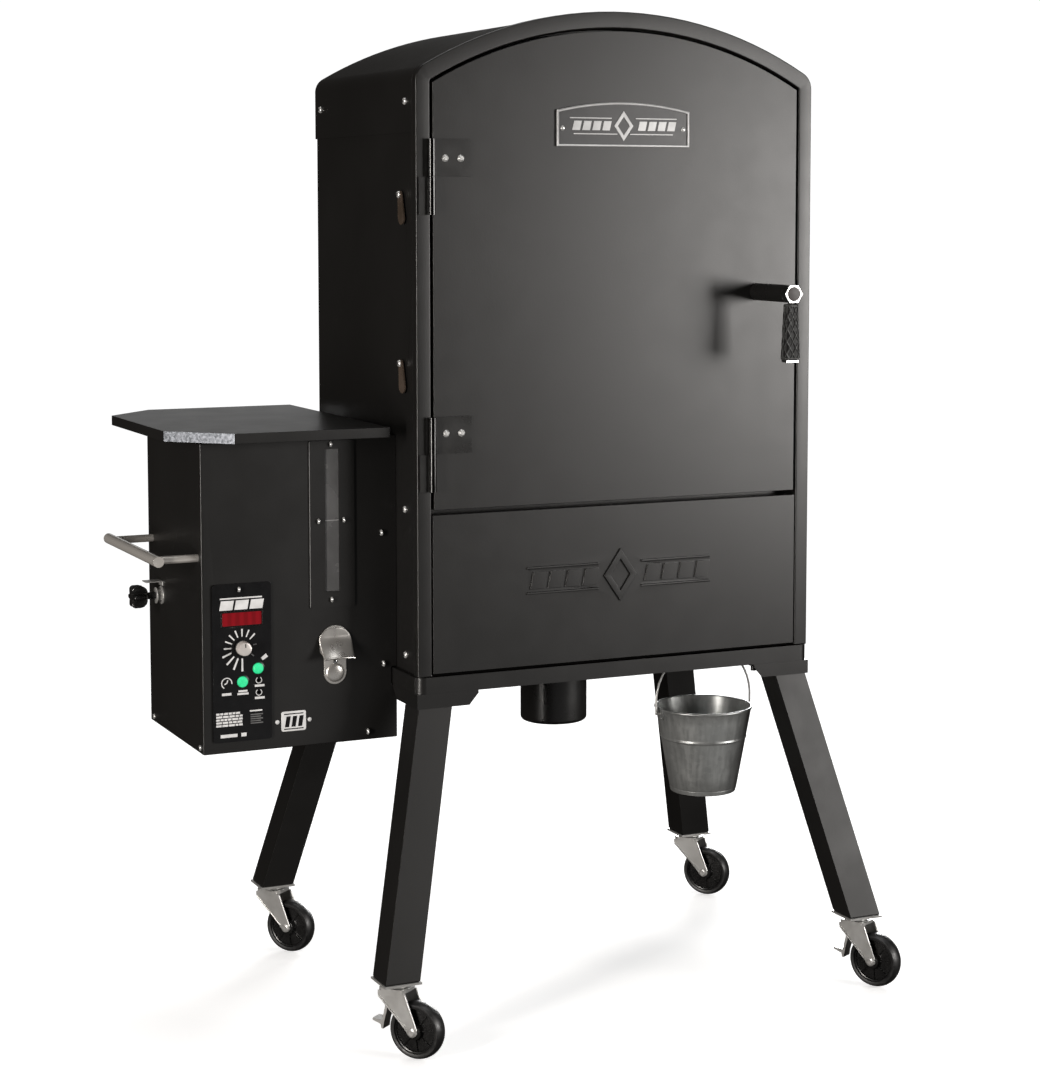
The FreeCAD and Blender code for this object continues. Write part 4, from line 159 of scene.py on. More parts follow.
def galvanised():
    """Tinned pail sheet: faint crystals, drawn into soft upright streaks."""
    tree = Tree("galvanised_sheet", metallic=0.68)
    cells = tree.add("TexVoronoi", {"Vector": tree.place, "Scale": 150.0, "Randomness": 1.0})
    shade = tree.add("SeparateColor", {"Color": cells.outputs["Color"]}).outputs[0]
    streak = tree.noise(160.0, 3.0, (1, 1, 0.03))
    blend = tree.add("Math", {0: tree.between(shade, 0.0, 0.25, 0.0, 1.0), 1: streak},
                     operation="ADD").outputs[0]
    tree.set("Base Color", tree.ramp(blend, (0.35, (0.32, 0.33, 0.325)), (0.85, (0.42, 0.43, 0.425))))
    tree.set("Roughness", tree.between(streak, 0.3, 0.4))
    tree.set("Normal", tree.bump(streak, 0.08, 0.0002))
    return tree.material


def smoked_enamel():
    """Dark baked enamel inside the chamber, browned unevenly by smoke."""
    tree = finish("smoked_enamel", (0.012, 0.011, 0.0095), (0.024, 0.019, 0.015), (0.42, 0.58),
                  tone=7.0, grain=900.0, strength=0.2)
    return tree.material


def rope():
    """Woven glass rope: two crossed sets of strands with a fibrous fuzz."""
    tree = Tree("woven_rope", roughness=0.85)
    twill = tree.add("TexWave", {"Vector": tree.place, "Scale": 110.0, "Distortion": 0.6},
                     bands_direction="DIAGONAL").outputs["Fac"]
    turned_place = tree.add("Mapping", {"Vector": tree.place, "Rotation": (0, math.pi / 2, 0)})
    counter = tree.add("TexWave", {"Vector": turned_place.outputs["Vector"], "Scale": 110.0,
                                   "Distortion": 0.6}, bands_direction="DIAGONAL").outputs["Fac"]
    weave = tree.add("Math", {0: twill, 1: counter}, operation="MAXIMUM").outputs[0]
    tree.set("Base Color", tree.ramp(weave, (0.1, (0.03, 0.029, 0.027)), (0.9, (0.17, 0.165, 0.15))))
    tree.set("Normal", tree.bump(weave, 0.7, 0.0008, tree.bump(tree.noise(2500.0), 0.3, 0.0003)))
    return tree.material


def smoked_pane():
    """Smoked clear plastic, faintly hazed."""
    tree = Tree("smoked_pane", transmission_weight=0.08, ior=1.49)
    haze = tree.noise(30.0)
    tree.set("Base Color", tree.ramp(haze, (0.3, (0.095, 0.095, 0.096)), (0.7, (0.125, 0.125, 0.126))))
    tree.set("Roughness", tree.between(haze, 0.2, 0.32))
    return tree.material


def lit_display():
    """Red lens over a lit display: an even glow, a little dimmer between the digits."""
    tree = Tree("display_lens", roughness=0.2, emission_strength=0.8)
    glow = tree.add("TexWave", {"Vector": tree.place, "Scale": 26.0, "Distortion": 1.5,
                                "Detail": 2.0}, bands_direction="X").outputs["Fac"]
    tree.set("Base Color", tree.ramp(glow, (0.3, (0.06, 0.002, 0.003)), (0.7, (0.08, 0.003, 0.004))))
    tree.set("Emission Color", tree.ramp(glow, (0.1, (0.15, 0.0, 0.003)), (0.9, (0.2, 0.0, 0.005))))
    return tree.material


def hammered(name, dark, light, rough, **sockets):
    """Moulded or printed plastic: nearly even colour with a slight mottle and grain."""
    return finish(name, dark, light, rough, tone=60.0, grain=2200.0, strength=0.08,
                  depth=0.0001, **sockets).material


coat = powder_coat("powder_coat", rough=(0.33, 0.355))
coat_gloss = powder_coat("powder_coat_gloss", rough=(0.26, 0.34))
leg_coat = powder_coat("leg_coat", rough=(0.42, 0.46), shine=0.36)
enamel = smoked_enamel()
zinc_plate = zinc()
screw_zinc = finish("screw_zinc", (0.66, 0.66, 0.65), (0.78, 0.78, 0.77), (0.22, 0.3), tone=60.0,
                    grain=1500.0, strength=0.03, metallic=0.6).material
pin_steel = finish("hinge_pin_steel", (0.035, 0.035, 0.035), (0.05, 0.05, 0.05), (0.16, 0.2), tone=40.0,
                   grain=900.0, strength=0.03, metallic=1.0).material
brown_steel = finish("browned_steel", (0.15, 0.11, 0.08), (0.24, 0.18, 0.14), (0.2, 0.3), tone=30.0,
                     grain=900.0, strength=0.05, metallic=0.7).material
# Lighter, speckled metal for the lid's front left chamfer: a painted highlight on the powder coat there.
lid_chamfer_highlight = finish("lid_chamfer_highlight", (0.05, 0.055, 0.062), (0.17, 0.18, 0.2), (0.3, 0.4), tone=260.0,
                   grain=900.0, strength=0.1, metallic=0.7).material
plate_metal = finish("nameplate_metal", (0.36, 0.36, 0.36), (0.44, 0.44, 0.44), (0.3, 0.4), tone=40.0,
                     grain=900.0, strength=0.03, metallic=0.35).material
plate_field = finish("nameplate_field", (0.022, 0.022, 0.023), (0.03, 0.03, 0.031), (0.3, 0.36),
                     tone=20.0, grain=1500.0, strength=0.06).material
stainless = brushed("brushed_stainless", (0.6, 0.58, 0.55), (0.75, 0.73, 0.7), (0.24, 0.34),
                    (1, 1, 0.04), metal=0.8)
stainless_along = brushed("stainless_bar", (0.66, 0.63, 0.59), (0.8, 0.77, 0.73), (0.2, 0.3),
                          (1, 0.04, 1), metal=0.6)
dial_metal = finish("dial_metal", (0.62, 0.58, 0.55), (0.7, 0.66, 0.63), (0.28, 0.32), tone=20.0,
                    grain=1500.0, strength=0.01, metallic=0.3).material
chrome = finish("bright_chrome", (0.42, 0.42, 0.42), (0.5, 0.5, 0.5), (0.12, 0.2), tone=40.0,
                grain=900.0, strength=0.03, metallic=1.0).material
galvanised_sheet = galvanised()
rubber = finish("wheel_rubber", (0.008, 0.008, 0.0085), (0.016, 0.016, 0.016), (0.32, 0.5), tone=30.0,
                grain=1500.0, strength=0.12).material
# A near-black copy of the grip plastic for the sunk knurl grooves: painted shade in the grooves.
grip_plastic = hammered("grip_plastic", (0.003, 0.003, 0.003), (0.006, 0.006, 0.006), (0.45, 0.55),
                        specular_ior_level=0.25)
grip_ridge = hammered("grip_ridge", (0.03, 0.031, 0.03), (0.045, 0.046, 0.045), (0.4, 0.5))
knob_plastic = hammered("knob_plastic", (0.007, 0.007, 0.007), (0.013, 0.013, 0.013), (0.2, 0.3))
plug_plastic = hammered("nut_plug", (0.045, 0.038, 0.036), (0.06, 0.052, 0.05), (0.45, 0.55))
film = finish("panel_film", (0.004, 0.004, 0.0045), (0.006, 0.006, 0.0065), (0.24, 0.27), tone=60.0,
              grain=1200.0, strength=0.015, specular_ior_level=0.35).material
print_white = hammered("white_print", (0.66, 0.66, 0.66), (0.8, 0.8, 0.8), (0.45, 0.6))
print_grey = hammered("grey_print", (0.09, 0.09, 0.09), (0.14, 0.14, 0.14), (0.45, 0.6))
# Green button caps; their emission paints a faint glow on them.
green = hammered("green_cap_glow", (0.02, 0.5, 0.2), (0.05, 0.72, 0.34), (0.25, 0.35),
                 emission_color=(0.02, 0.7, 0.26, 1), emission_strength=0.35,
                 subsurface_weight=0.2)
pane = smoked_pane()
lens = lit_display()
seal = rope()
wire = finish("rack_wire", (0.36, 0.35, 0.33), (0.55, 0.54, 0.52), (0.2, 0.34), tone=45.0,
              grain=1300.0, strength=0.06, metallic=1.0).material
motor_grey = hammered("motor_case", (0.06, 0.062, 0.066), (0.1, 0.102, 0.108), (0.42, 0.58))
cast_steel = finish("feed_steel", (0.24, 0.235, 0.23), (0.42, 0.41, 0.4), (0.35, 0.55), tone=25.0,
                    grain=900.0, strength=0.2, metallic=1.0).material


# --- CAD nodes ---

def dress(look, *names, edge=0.0, flat=False):
    """Give CAD nodes a finish, and soften their folded edges by that many mm.

    Flat also merges the triangles of plane faces, so that none of them shows.
    """
    for name in names:
        thing = frame["nodes"][name]
        thing.data.materials.clear()
        thing.data.materials.append(look)
        for polygon in thing.data.polygons:
            polygon.material_index = 0
        if not edge:
            continue
        if "custom_normal" in thing.data.attributes:
            thing.data.attributes.remove(thing.data.attributes["custom_normal"])
        thing.data.polygons.foreach_set("use_smooth", [True] * len(thing.data.polygons))
        thing.modifiers.new("weld", "WELD").merge_threshold = 0.00001
        if flat:
            merge = thing.modifiers.new("whole_faces", "DECIMATE")
            merge.decimate_type = "DISSOLVE"
            merge.angle_limit = math.radians(0.3)
        soften(thing, edge)


def soften(thing, edge, segments=2):
    bevel = thing.modifiers.new("soft_edges", "BEVEL")
    bevel.width = edge * MM
    bevel.segments = segments
    bevel.limit_method = "ANGLE"
    bevel.angle_limit = math.radians(38)
    bevel.miter_outer = "MITER_ARC"
    even = thing.modifiers.new("even_normals", "WEIGHTED_NORMAL")
    even.keep_sharp = True


def touch(name, look, inside):
    """Give another finish to the faces whose middle, in mm, passes the test."""
    mesh = frame["nodes"][name].data
    mesh.materials.append(look)
    for polygon in mesh.polygons:
        middle = (polygon.center - DATUM) / MM
        if inside(middle.x, middle.y, middle.z):
            polygon.material_index = len(mesh.materials) - 1


dress(coat, "front_frame", "hopper_shell", edge=1.8)
dress(coat, "door_skin", edge=1.0, flat=True)
dress(coat, "base_tray", "window_frame", edge=1.0)
dress(coat, "roof_cover", "left_side_panel", "right_side_panel", "back_panel", edge=0.5)
dress(coat, "lower_front_panel", edge=0.6)
dress(leg_coat, "legs", edge=2.6)
dress(coat, "hopper_lid", "leg_brackets", edge=1.2)
dress(coat_gloss, "ash_cup", "handle_shaft", "door_hinge_leaves", "frame_hinges", edge=0.4)
dress(enamel, "rack_rails", "heat_deflector", "drip_tray", "burn_pot", "hopper_bin", "door_liner",
      edge=0.4)
dress(zinc_plate, "caster_plates", "bucket_hanger", "bucket_bail", "lid_hinge_pin", edge=0.3)
corner_names = [name[len("caster_fork_"):] for name in frame["nodes"] if name.startswith("caster_fork_")]
for corner in corner_names:
    dress(zinc_plate, "caster_fork_" + corner, edge=0.5)
for corner in ("front_left", "front_right"):
    dress(zinc_plate, "caster_brake_" + corner, edge=0.5)
dress(stainless, "temperature_probe", edge=0.3)
dress(brown_steel, "probe_flap_upper", "probe_flap_lower", edge=0.7)
dress(stainless_along, "hopper_side_handle", edge=1.2)
dress(knob_plastic, "power_inlet", edge=0.7)
dress(film, "control_panel", edge=0.5)
dress(green, "power_button", "feed_button", edge=0.3)
dress(pane, "window_pane")
dress(seal, "door_gasket", edge=1.2)
dress(motor_grey, "auger_gear_motor", "fan_housing", "fan_impeller", "auger_tube", edge=0.5)

LEAF_FACE = -3.01  # just in front of the hinge leaves
KNUCKLE_LEFT, KNUCKLE_RIGHT = -296, -284
LEAF_SCREWS_LEFT = -280
NUT_LONG, NUT_FLOOR = 14.5, 1015
CAP_LIP = 0.5
LATCH_FRONT = 30
LID_CUT_LINE, LID_RIM_TOP = 523.0, 850.5  # the lid's front left cut runs where x + y is minus this
WINDOW_HIGHLIGHT_EDGE = -434.9
INLET_LEFT, INLET_RIGHT, INLET_LOW, INLET_HIGH = -479, -461, 449, 459
INLET_FRONT, INLET_BACK = 406, 411.7
for hinge in ("door_hinge_leaves", "frame_hinges"):
    touch(hinge, pin_steel, lambda x, y, z: KNUCKLE_LEFT < x < KNUCKLE_RIGHT and y < LEAF_FACE)
touch("door_hinge_leaves", screw_zinc, lambda x, y, z: x > LEAF_SCREWS_LEFT and y < LEAF_FACE)
nut_front = mm_box("handle_shaft")[2]
grip_foot = mm_box("handle_grip")[4]
touch("handle_shaft", chrome, lambda x, y, z: y < nut_front + NUT_LONG and z > NUT_FLOOR)
touch("handle_shaft", chrome, lambda x, y, z: z < grip_foot + CAP_LIP)
touch("handle_shaft", zinc_plate, lambda x, y, z: y > LATCH_FRONT)
# The lid's front left chamfer face takes the painted highlight finish.
touch("hopper_lid", lid_chamfer_highlight, lambda x, y, z: abs(x + y + LID_CUT_LINE) < 1 and z < LID_RIM_TOP)
# The window plate's left side face takes the lighter trim metal: a painted highlight line down that edge.
touch("window_frame", plate_metal, lambda x, y, z: x < WINDOW_HIGHLIGHT_EDGE)
touch("power_inlet", zinc_plate, lambda x, y, z: (
    INLET_LEFT < x < INLET_RIGHT and INLET_FRONT < y < INLET_BACK and INLET_LOW < z < INLET_HIGH))


# --- shapes ---

class Shape:
    """Mesh under construction, in mm from the datum."""

    def __init__(self):
        self.mesh = bmesh.new()

    def ring(self, points):
        return [self.mesh.verts.new(at(*point)) for point in points]

    def bridge(self, rings, closed=False, around=True):
        """Quads between neighbouring rings; closed joins the last to the first, around a ring's ends."""
        following = rings[1:] + (rings[:1] if closed else [])
        for a, b in zip(rings, following):
            for i in range(len(a) if around else len(a) - 1):
                j = (i + 1) % len(a)
                self.face(a[i], a[j], b[j], b[i])

    def face(self, *corners):
        unique = list(dict.fromkeys(corners))
        if len(unique) > 2:
            try:
                self.mesh.faces.new(unique)
            except ValueError:
                pass

    def loft(self, sections, closed=False):
        """Skin through sections with the same number of points; its ends are capped unless closed."""
        rings = [self.ring(section) for section in sections]
        self.bridge(rings, closed)
        if not closed:
            self.face(*reversed(rings[0]))
            self.face(*rings[-1])
        return self

    def slab(self, outline, y0, y1):
        """A plate facing forwards, from an outline of (x, z) points."""
        return self.loft([[(x, y, z) for x, z in outline] for y in (y0, y1)])

    def block(self, x0, x1, y0, y1, z0, z1):
        return self.slab([(x0, z0), (x1, z0), (x1, z1), (x0, z1)], y0, y1)

    def lathe(self, centre, axis, profile, sides=48):
        """A turned piece; the profile's points are (radius, distance along the axis)."""
        axis = Vector(axis).normalized()
        across = axis.orthogonal().normalized()
        other = axis.cross(across)
        centre = Vector(centre)
        rings = []
        for radius, along in profile:
            if radius < 1e-6:
                rings.append([self.mesh.verts.new(at(*(centre + axis * along)))] * sides)
                continue
            rings.append(self.ring([centre + axis * along
                                    + across * radius * math.cos(math.tau * i / sides)
                                    + other * radius * math.sin(math.tau * i / sides)
                                    for i in range(sides)]))
        self.bridge(rings)
        return self

    def tube(self, path, radius, sides=10, closed=False):
        """A round bar along a path; the ends are capped flat when it is open."""
        path = [Vector(point) for point in path]
        count = len(path)
        normal = None
        sections = []
        for i, point in enumerate(path):
            before = path[i - 1] if i or closed else path[0]
            after = path[(i + 1) % count] if i + 1 < count or closed else path[-1]
            along = (after - before).normalized()
            normal = along.orthogonal() if normal is None else normal - along * normal.dot(along)
            normal.normalize()
            side = along.cross(normal)
            sections.append([point + normal * radius * math.cos(math.tau * k / sides)
                             + side * radius * math.sin(math.tau * k / sides) for k in range(sides)])
        return self.loft(sections, closed=closed)

    def done(self, name, body, look, slot, edge=0.0, smooth=True, replaces=()):
        """Turn the mesh into a piece that rides on a CAD body."""
        bmesh.ops.remove_doubles(self.mesh, verts=self.mesh.verts, dist=1e-7)
        bmesh.ops.recalc_face_normals(self.mesh, faces=self.mesh.faces)
        data = bpy.data.meshes.new(name)
        self.mesh.to_mesh(data)
        self.mesh.free()
        data.polygons.foreach_set("use_smooth", [smooth] * len(data.polygons))
        thing = bpy.data.objects.new(name, data)
        bpy.context.scene.collection.objects.link(thing)
        data.materials.append(look)
        if edge:
            soften(thing, edge)
        elif smooth:
            data.set_sharp_from_angle(angle=math.radians(35))
        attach(thing, body)
        if replaces:
            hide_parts(*replaces)
        return thing


def islands(node):
    """Boxes, in mm, of the separate solids in a CAD node."""
    mesh = bmesh.new()
    mesh.from_mesh(frame["nodes"][node].data)
    bmesh.ops.remove_doubles(mesh, verts=mesh.verts, dist=1e-6)
    seen, boxes = set(), []
    for start in mesh.verts:
        if start.index in seen:
            continue
        seen.add(start.index)
        stack, points = [start], []
        while stack:
            vertex = stack.pop()
            points.append((vertex.co - DATUM) / MM)
            for edge in vertex.link_edges:
                other = edge.other_vert(vertex)
                if other.index not in seen:
                    seen.add(other.index)
                    stack.append(other)
        boxes.append([(min(p[k] for p in points), max(p[k] for p in points)) for k in range(3)])
    mesh.free()
    return boxes


def arched(middle, wide, low, high, radius):
    """Outline of a plate with an arched top, as (x, z) points."""
    steps = 28
    half = wide / 2
    depth = math.sqrt(radius * radius - half * half)
    spread = math.asin(half / radius)
    top = [(middle + radius * math.sin(angle), high - depth + radius * math.cos(angle))
           for angle in (spread - 2 * spread * i / steps for i in range(steps + 1))]
    return [(middle - half, low), (middle + half, low), *top]


def rounded(x0, x1, z0, z1, corner):
    """Outline of a rectangle with round corners, as (x, z) points."""
    steps = 5
    points = []
    for cx, cz, turn in ((x1 - corner, z0 + corner, -90), (x1 - corner, z1 - corner, 0),
                         (x0 + corner, z1 - corner, 90), (x0 + corner, z0 + corner, 180)):
        for i in range(steps + 1):
            angle = math.radians(turn + 90 * i / steps)
            points.append((cx + corner * math.cos(angle), cz + corner * math.sin(angle)))
    return points


def slanted(x0, x1, z0, z1, lean):
    return [(x0, z0), (x1, z0), (x1 + lean, z1), (x0 + lean, z1)]


# --- fasteners ---

def screw(shape, recess, centre, axis, radius, height):
    """A pan head with a cross recess; a dark cross in a second shape is painted shade in the recess."""
    profile = [(radius * math.cos(angle) ** 0.75, height * math.sin(angle))
               for angle in (math.radians(d) for d in (0, 12, 26, 42, 58, 74))]
    shape.lathe(centre, axis, [(radius * 0.96, -0.4), *profile, (0.0, height)], 28)
    axis = Vector(axis).normalized()
    across = axis.orthogonal().normalized()
    other = axis.cross(across)
    top = Vector(centre) + axis * (height + 0.04)
    for a, b in ((across, other), (other, -across)):
        long, wide = a * radius * 0.5, b * radius * 0.13
        recess.loft([[top + long + wide, top - long + wide, top - long - wide, top + long - wide],
                     [top + long + wide - axis, top - long + wide - axis,
                      top - long - wide - axis, top + long - wide - axis]])


HEAD_TALL = 0.6  # of its radius
heads, recess_shades = Shape(), Shape()
for box in islands("body_screws"):
    sizes = [high - low for low, high in box]
    middle = [(low + high) / 2 for low, high in box]
    radius = sorted(sizes)[1] / 2
    if sizes[0] < sizes[1] * 0.9 or sizes[0] > sizes[1] * 1.02:  # it looks sideways
        sign = -1 if middle[0] < 0 else 1
        seat = box[0][1] if sign < 0 else box[0][0]
        if sizes[0] >= radius:
            seat = box[0][0] + radius * HEAD_TALL
        centre, axis = (seat, middle[1], middle[2]), (sign, 0, 0)
    else:
        centre, axis = (middle[0], box[1][1], middle[2]), (0, -1, 0)
    screw(heads, recess_shades, centre, axis, radius, radius * HEAD_TALL)
heads.done("panel_screws", "cabinet", screw_zinc, "zinc_plate", replaces=["body_screws"])
# The dark crosses are painted shade in the screw heads' recesses.
recess_shades.done("panel_screw_recess_shades", "cabinet", knob_plastic, "zinc_plate", smooth=False)


# --- nameplate ---

PLATE_RADIUS = 460.0
FACE_PROUD = 2.0
RIVET_OUT, RIVET_UP = 95, 25
plate_x0, plate_x1, plate_y0, plate_y1, plate_z0, plate_z1 = mm_box("door_nameplate")
plate_middle, plate_wide = (plate_x0 + plate_x1) / 2, plate_x1 - plate_x0
shoulder = plate_z1 - (PLATE_RADIUS - math.sqrt(PLATE_RADIUS ** 2 - (plate_wide / 2) ** 2))


def plate_outline(inset):
    return arched(plate_middle, plate_wide - 2 * inset, plate_z0 + inset, shoulder - inset, PLATE_RADIUS)


def emblem(shape, middle, centre_z, y0, y1):
    """A lozenge ring between two rows of slanted blocks with a thin rule over and under them."""
    half_wide, half_tall, hole = 15, 21, 0.62
    first, pitch, block_wide, block_half, lean = 22, 15.5, 12, 6.5, 3
    rule_half = 0.8
    ring = [[(middle + half_wide * reach * dx, centre_z + half_tall * reach * dz)
             for dx, dz in ((0, -1), (1, 0), (0, 1), (-1, 0))] for reach in (1.0, hole)]
    shape.loft([[(x, y, z) for x, z in outline] for outline, y in
                ((ring[0], y1), (ring[0], y0), (ring[1], y0), (ring[1], y1))], closed=True)
    for side in (-1, 1):
        for index in range(4):
            x0 = middle + side * (first + index * pitch) - (block_wide if side < 0 else 0)
            shape.slab(slanted(x0, x0 + block_wide, centre_z - block_half, centre_z + block_half, lean),
                       y0, y1)
        for height, start, end in ((10.5, 19, 84), (-11.5, 10, 78)):
            x0, x1 = sorted((middle + side * start, middle + side * end))
            middle_z = centre_z + height
            shape.block(x0, x1, y0, y1, middle_z - rule_half, middle_z + rule_half)


face = plate_y1 - FACE_PROUD
Shape().slab(plate_outline(0.4), face, plate_y1).done(
    "nameplate_field", "door", plate_field, "black_powder_coat", edge=0.3)
rim = Shape()
rim.loft([[(x, y, z) for x, z in plate_outline(inset)] for inset, y in
          ((0.0, plate_y1 - 0.6), (0.0, plate_y0 + 0.5), (0.6, plate_y0), (2.2, plate_y0),
           (2.8, plate_y0 + 0.5), (2.8, face + 0.2))], closed=True)
rim.done("nameplate_rim", "door", plate_metal, "chrome_trim", replaces=["door_nameplate"])
motif = Shape()
emblem(motif, plate_middle, (plate_z0 + shoulder) / 2 + 4, face - 0.7, face + 0.5)
motif.done("nameplate_motif", "door", plate_metal, "chrome_trim", edge=0.2)
rivets = Shape()
for side in (-1, 1):
    rivets.lathe((plate_middle + side * RIVET_OUT, face, plate_z0 + RIVET_UP), (0, -1, 0),
                 [(3.5, -0.3), (3.4, 0.4), (2.7, 1.2), (1.5, 1.7), (0, 1.9)], 24)
rivets.done("nameplate_rivets", "door", screw_zinc, "chrome_trim")


# --- controller ---

INK = 0.18
PRINT_SINK = 0.1
panel_y0 = mm_box("control_panel")[2]
ink_y = panel_y0 - INK
dial = mm_box("dial_knob")
dial_x, dial_z = (dial[0] + dial[1]) / 2, (dial[4] + dial[5]) / 2
white, grey = Shape(), Shape()


def mark(shape, x0, x1, z0, z1):
    shape.block(x0, x1, ink_y, panel_y0 + 0.1, z0, z1)


def spoke(shape, x, z, angle, start, end, wide):
    """A printed line that points away from a centre; the angle is clockwise from the top."""
    along = Vector((math.sin(math.radians(angle)), math.cos(math.radians(angle))))
    across = Vector((along.y, -along.x)) * wide / 2
    centre = Vector((x, z))
    shape.slab([tuple(centre + along * reach + across * side) for reach, side in
                ((start, -1), (start, 1), (end, 1.25), (end, -1.25))], ink_y, panel_y0 + PRINT_SINK)


def printed_ring(shape, x, z, outer, inner, start=0, end=360):
    steps = 28
    angles = [math.radians(start + (end - start) * i / steps) for i in range(steps + 1)]
    points = [(x + outer * math.sin(a), z + outer * math.cos(a)) for a in angles]
    points += [(x + inner * math.sin(a), z + inner * math.cos(a)) for a in reversed(angles)]
    rings = [shape.ring([(px, y, pz) for px, pz in points]) for y in (ink_y, panel_y0 + PRINT_SINK)]
    shape.bridge(rings)
    count = steps + 1
    for ring in rings:
        for i in range(steps):
            shape.face(ring[i], ring[i + 1], ring[2 * count - 2 - i], ring[2 * count - 1 - i])


TICK = 22.5
for index in range(4):
    spoke(white, dial_x, dial_z, 180 + TICK * index, 15 + index * 0.6, 33 - index * 0.8, 2.2)
for index in range(7):
    spoke(white, dial_x, dial_z, 270 + TICK * index, 15.5, 26, 1.7)
for angle in (80, 127):
    spoke(grey, dial_x, dial_z, angle, 16, 21, 1.5)
TITLE_X, TITLE_PITCH, TITLE_WIDE, TITLE_LOW, TITLE_HIGH, TITLE_LEAN = -567, 21.5, 18.5, 604, 617, 2.5
for index in range(3):
    x0 = TITLE_X + index * TITLE_PITCH
    white.slab(slanted(x0, x0 + TITLE_WIDE, TITLE_LOW, TITLE_HIGH, TITLE_LEAN), ink_y,
               panel_y0 + PRINT_SINK)
mark(white, -566, -506, 619, 621)
spoke(white, -507, 533, 55, 0, 9, 4.5)
TIMER_X, TIMER_Z = -557.5, 503
printed_ring(white, TIMER_X, TIMER_Z, 8, 6.6, -150, 100)
spoke(white, TIMER_X, TIMER_Z, 20, 0, 4.5, 1.4)
spoke(white, TIMER_X, TIMER_Z, 250, 0, 3.5, 1.4)
mark(white, -564.5, -551, 486, 489.5)
mark(white, -542.5, -526.5, 485.5, 488.2)
mark(white, -541, -528, 489.4, 492)
for height in (504, 487):
    printed_ring(white, -511.5, height, 4.6, 3.6, 30, 330)
    mark(white, -517.5, -503.5, height - 9.2, height - 6)
NOTE_LEFT, NOTE_RIGHT, NOTE_TOP = -573.0, -535.5, 462.3
NOTE_PITCH, NOTE_TALL, WORD_GAP = 4.1, 2.8, 1.1
random.seed(4)
for row in range(5):
    x = NOTE_LEFT
    while x < -538:
        end = min(x + random.uniform(3.5, 9.0), NOTE_RIGHT)
        mark(white, x, end, NOTE_TOP - NOTE_TALL - row * NOTE_PITCH, NOTE_TOP - row * NOTE_PITCH)
        x = end + WORD_GAP
for row in range(5):
    mark(grey, -524, -506 - (row % 2) * 3, 456 - row * 3, 457.6 - row * 3)
mark(white, -525, -507, 461, 463)
mark(white, -567, -543, 427.5, 432)
mark(white, -537.5, -530, 427.5, 432.5)
white.done("panel_print", "cabinet", print_white, "panel_face", smooth=False)
grey.done("panel_small_print", "cabinet", print_grey, "panel_face", smooth=False)
Shape().slab(rounded(-563, -507, 582, 600, 1.5), panel_y0 - 0.6, panel_y0 + 0.2).done(
    "display_window", "cabinet", lens, "panel_face", edge=0.25)
bezel = Shape()
bezel.loft([[(x, y, z) for x, z in rounded(-564 - g, -506 + g, 581 - g, 601 + g, 2 + g)] for g, y in
            ((1.4, panel_y0 + PRINT_SINK), (1.4, panel_y0 - 0.5), (0.7, panel_y0 - 0.9),
             (0.0, panel_y0 - 0.5), (0.0, panel_y0 + PRINT_SINK))], closed=True)
bezel.done("display_bezel", "cabinet", knob_plastic, "panel_face")
dial_r = (dial[1] - dial[0]) / 2
Shape().lathe((dial_x, panel_y0, dial_z), (0, -1, 0),
              [(dial_r * 0.5, -0.1), (dial_r, 0.1), (dial_r, 2.0), (dial_r * 0.9, 3.2), (11, 3.6)],
              60).done("dial_skirt", "dial", knob_plastic, "knob_plastic")
dial_tall = panel_y0 - dial[2]
flutes = []
for along, inset in ((2.5, 0.0), (dial_tall - 1.5, 0.6), (dial_tall - 0.4, 1.2), (dial_tall, 2.4)):
    flutes.append([(dial_x + r * math.sin(a), panel_y0 - along, dial_z + r * math.cos(a)) for r, a in
                   ((9.8 - inset + 0.25 * math.cos(24 * a), a) for a in
                    (math.tau * i / 120 for i in range(120)))])
Shape().loft(flutes).done("dial_cap", "dial", dial_metal, "chrome_trim", replaces=["dial_knob"])
pointer = Shape()
pointer.block(dial_x - 0.7, dial_x + 0.7, dial[2] - 0.12, dial[2] + 0.3, dial_z + 2.5, dial_z + 7.5)
pointer.done("dial_pointer", "dial", knob_plastic, "chrome_trim", smooth=False)
collars = Shape()
for button in ("power_button", "feed_button"):
    cap = mm_box(button)
    collars.lathe(((cap[0] + cap[1]) / 2, panel_y0, (cap[4] + cap[5]) / 2), (0, -1, 0),
                  [(8.0, -0.1), (8.0, 0.5), (8.5, 0.9), (9.2, 0.7), (9.4, -0.1)], 32)
collars.done("button_collars", "cabinet", knob_plastic, "panel_face")
badge_y = mm_box("hopper_shell")[2]
Shape().slab(rounded(-479, -443, 428, 456, 3), badge_y - 1.2, badge_y).done(
    "size_badge", "cabinet", print_white, "panel_face", edge=0.3)
badge_bars = Shape()
for index in range(3):
    badge_bars.slab(slanted(-474 + index * 9.5, -468 + index * 9.5, 434, 449, 2.5),
                    badge_y - 1.4, badge_y - 1.0)
badge_bars.block(-475, -447, badge_y - 1.4, badge_y - 1.0, 451.5, 453)
badge_bars.block(-475, -447, badge_y - 1.4, badge_y - 1.0, 430.5, 432)
badge_bars.done("size_badge_bars", "cabinet", film, "panel_face", smooth=False)
pins = Shape()
for x in (-484.5, -437.5):
    pins.lathe((x, badge_y, 442), (0, -1, 0), [(3, -0.2), (2.9, 0.6), (2.0, 1.3), (0, 1.6)], 20)
pins.done("size_badge_pins", "cabinet", print_white, "zinc_plate")


# --- handle grip ---

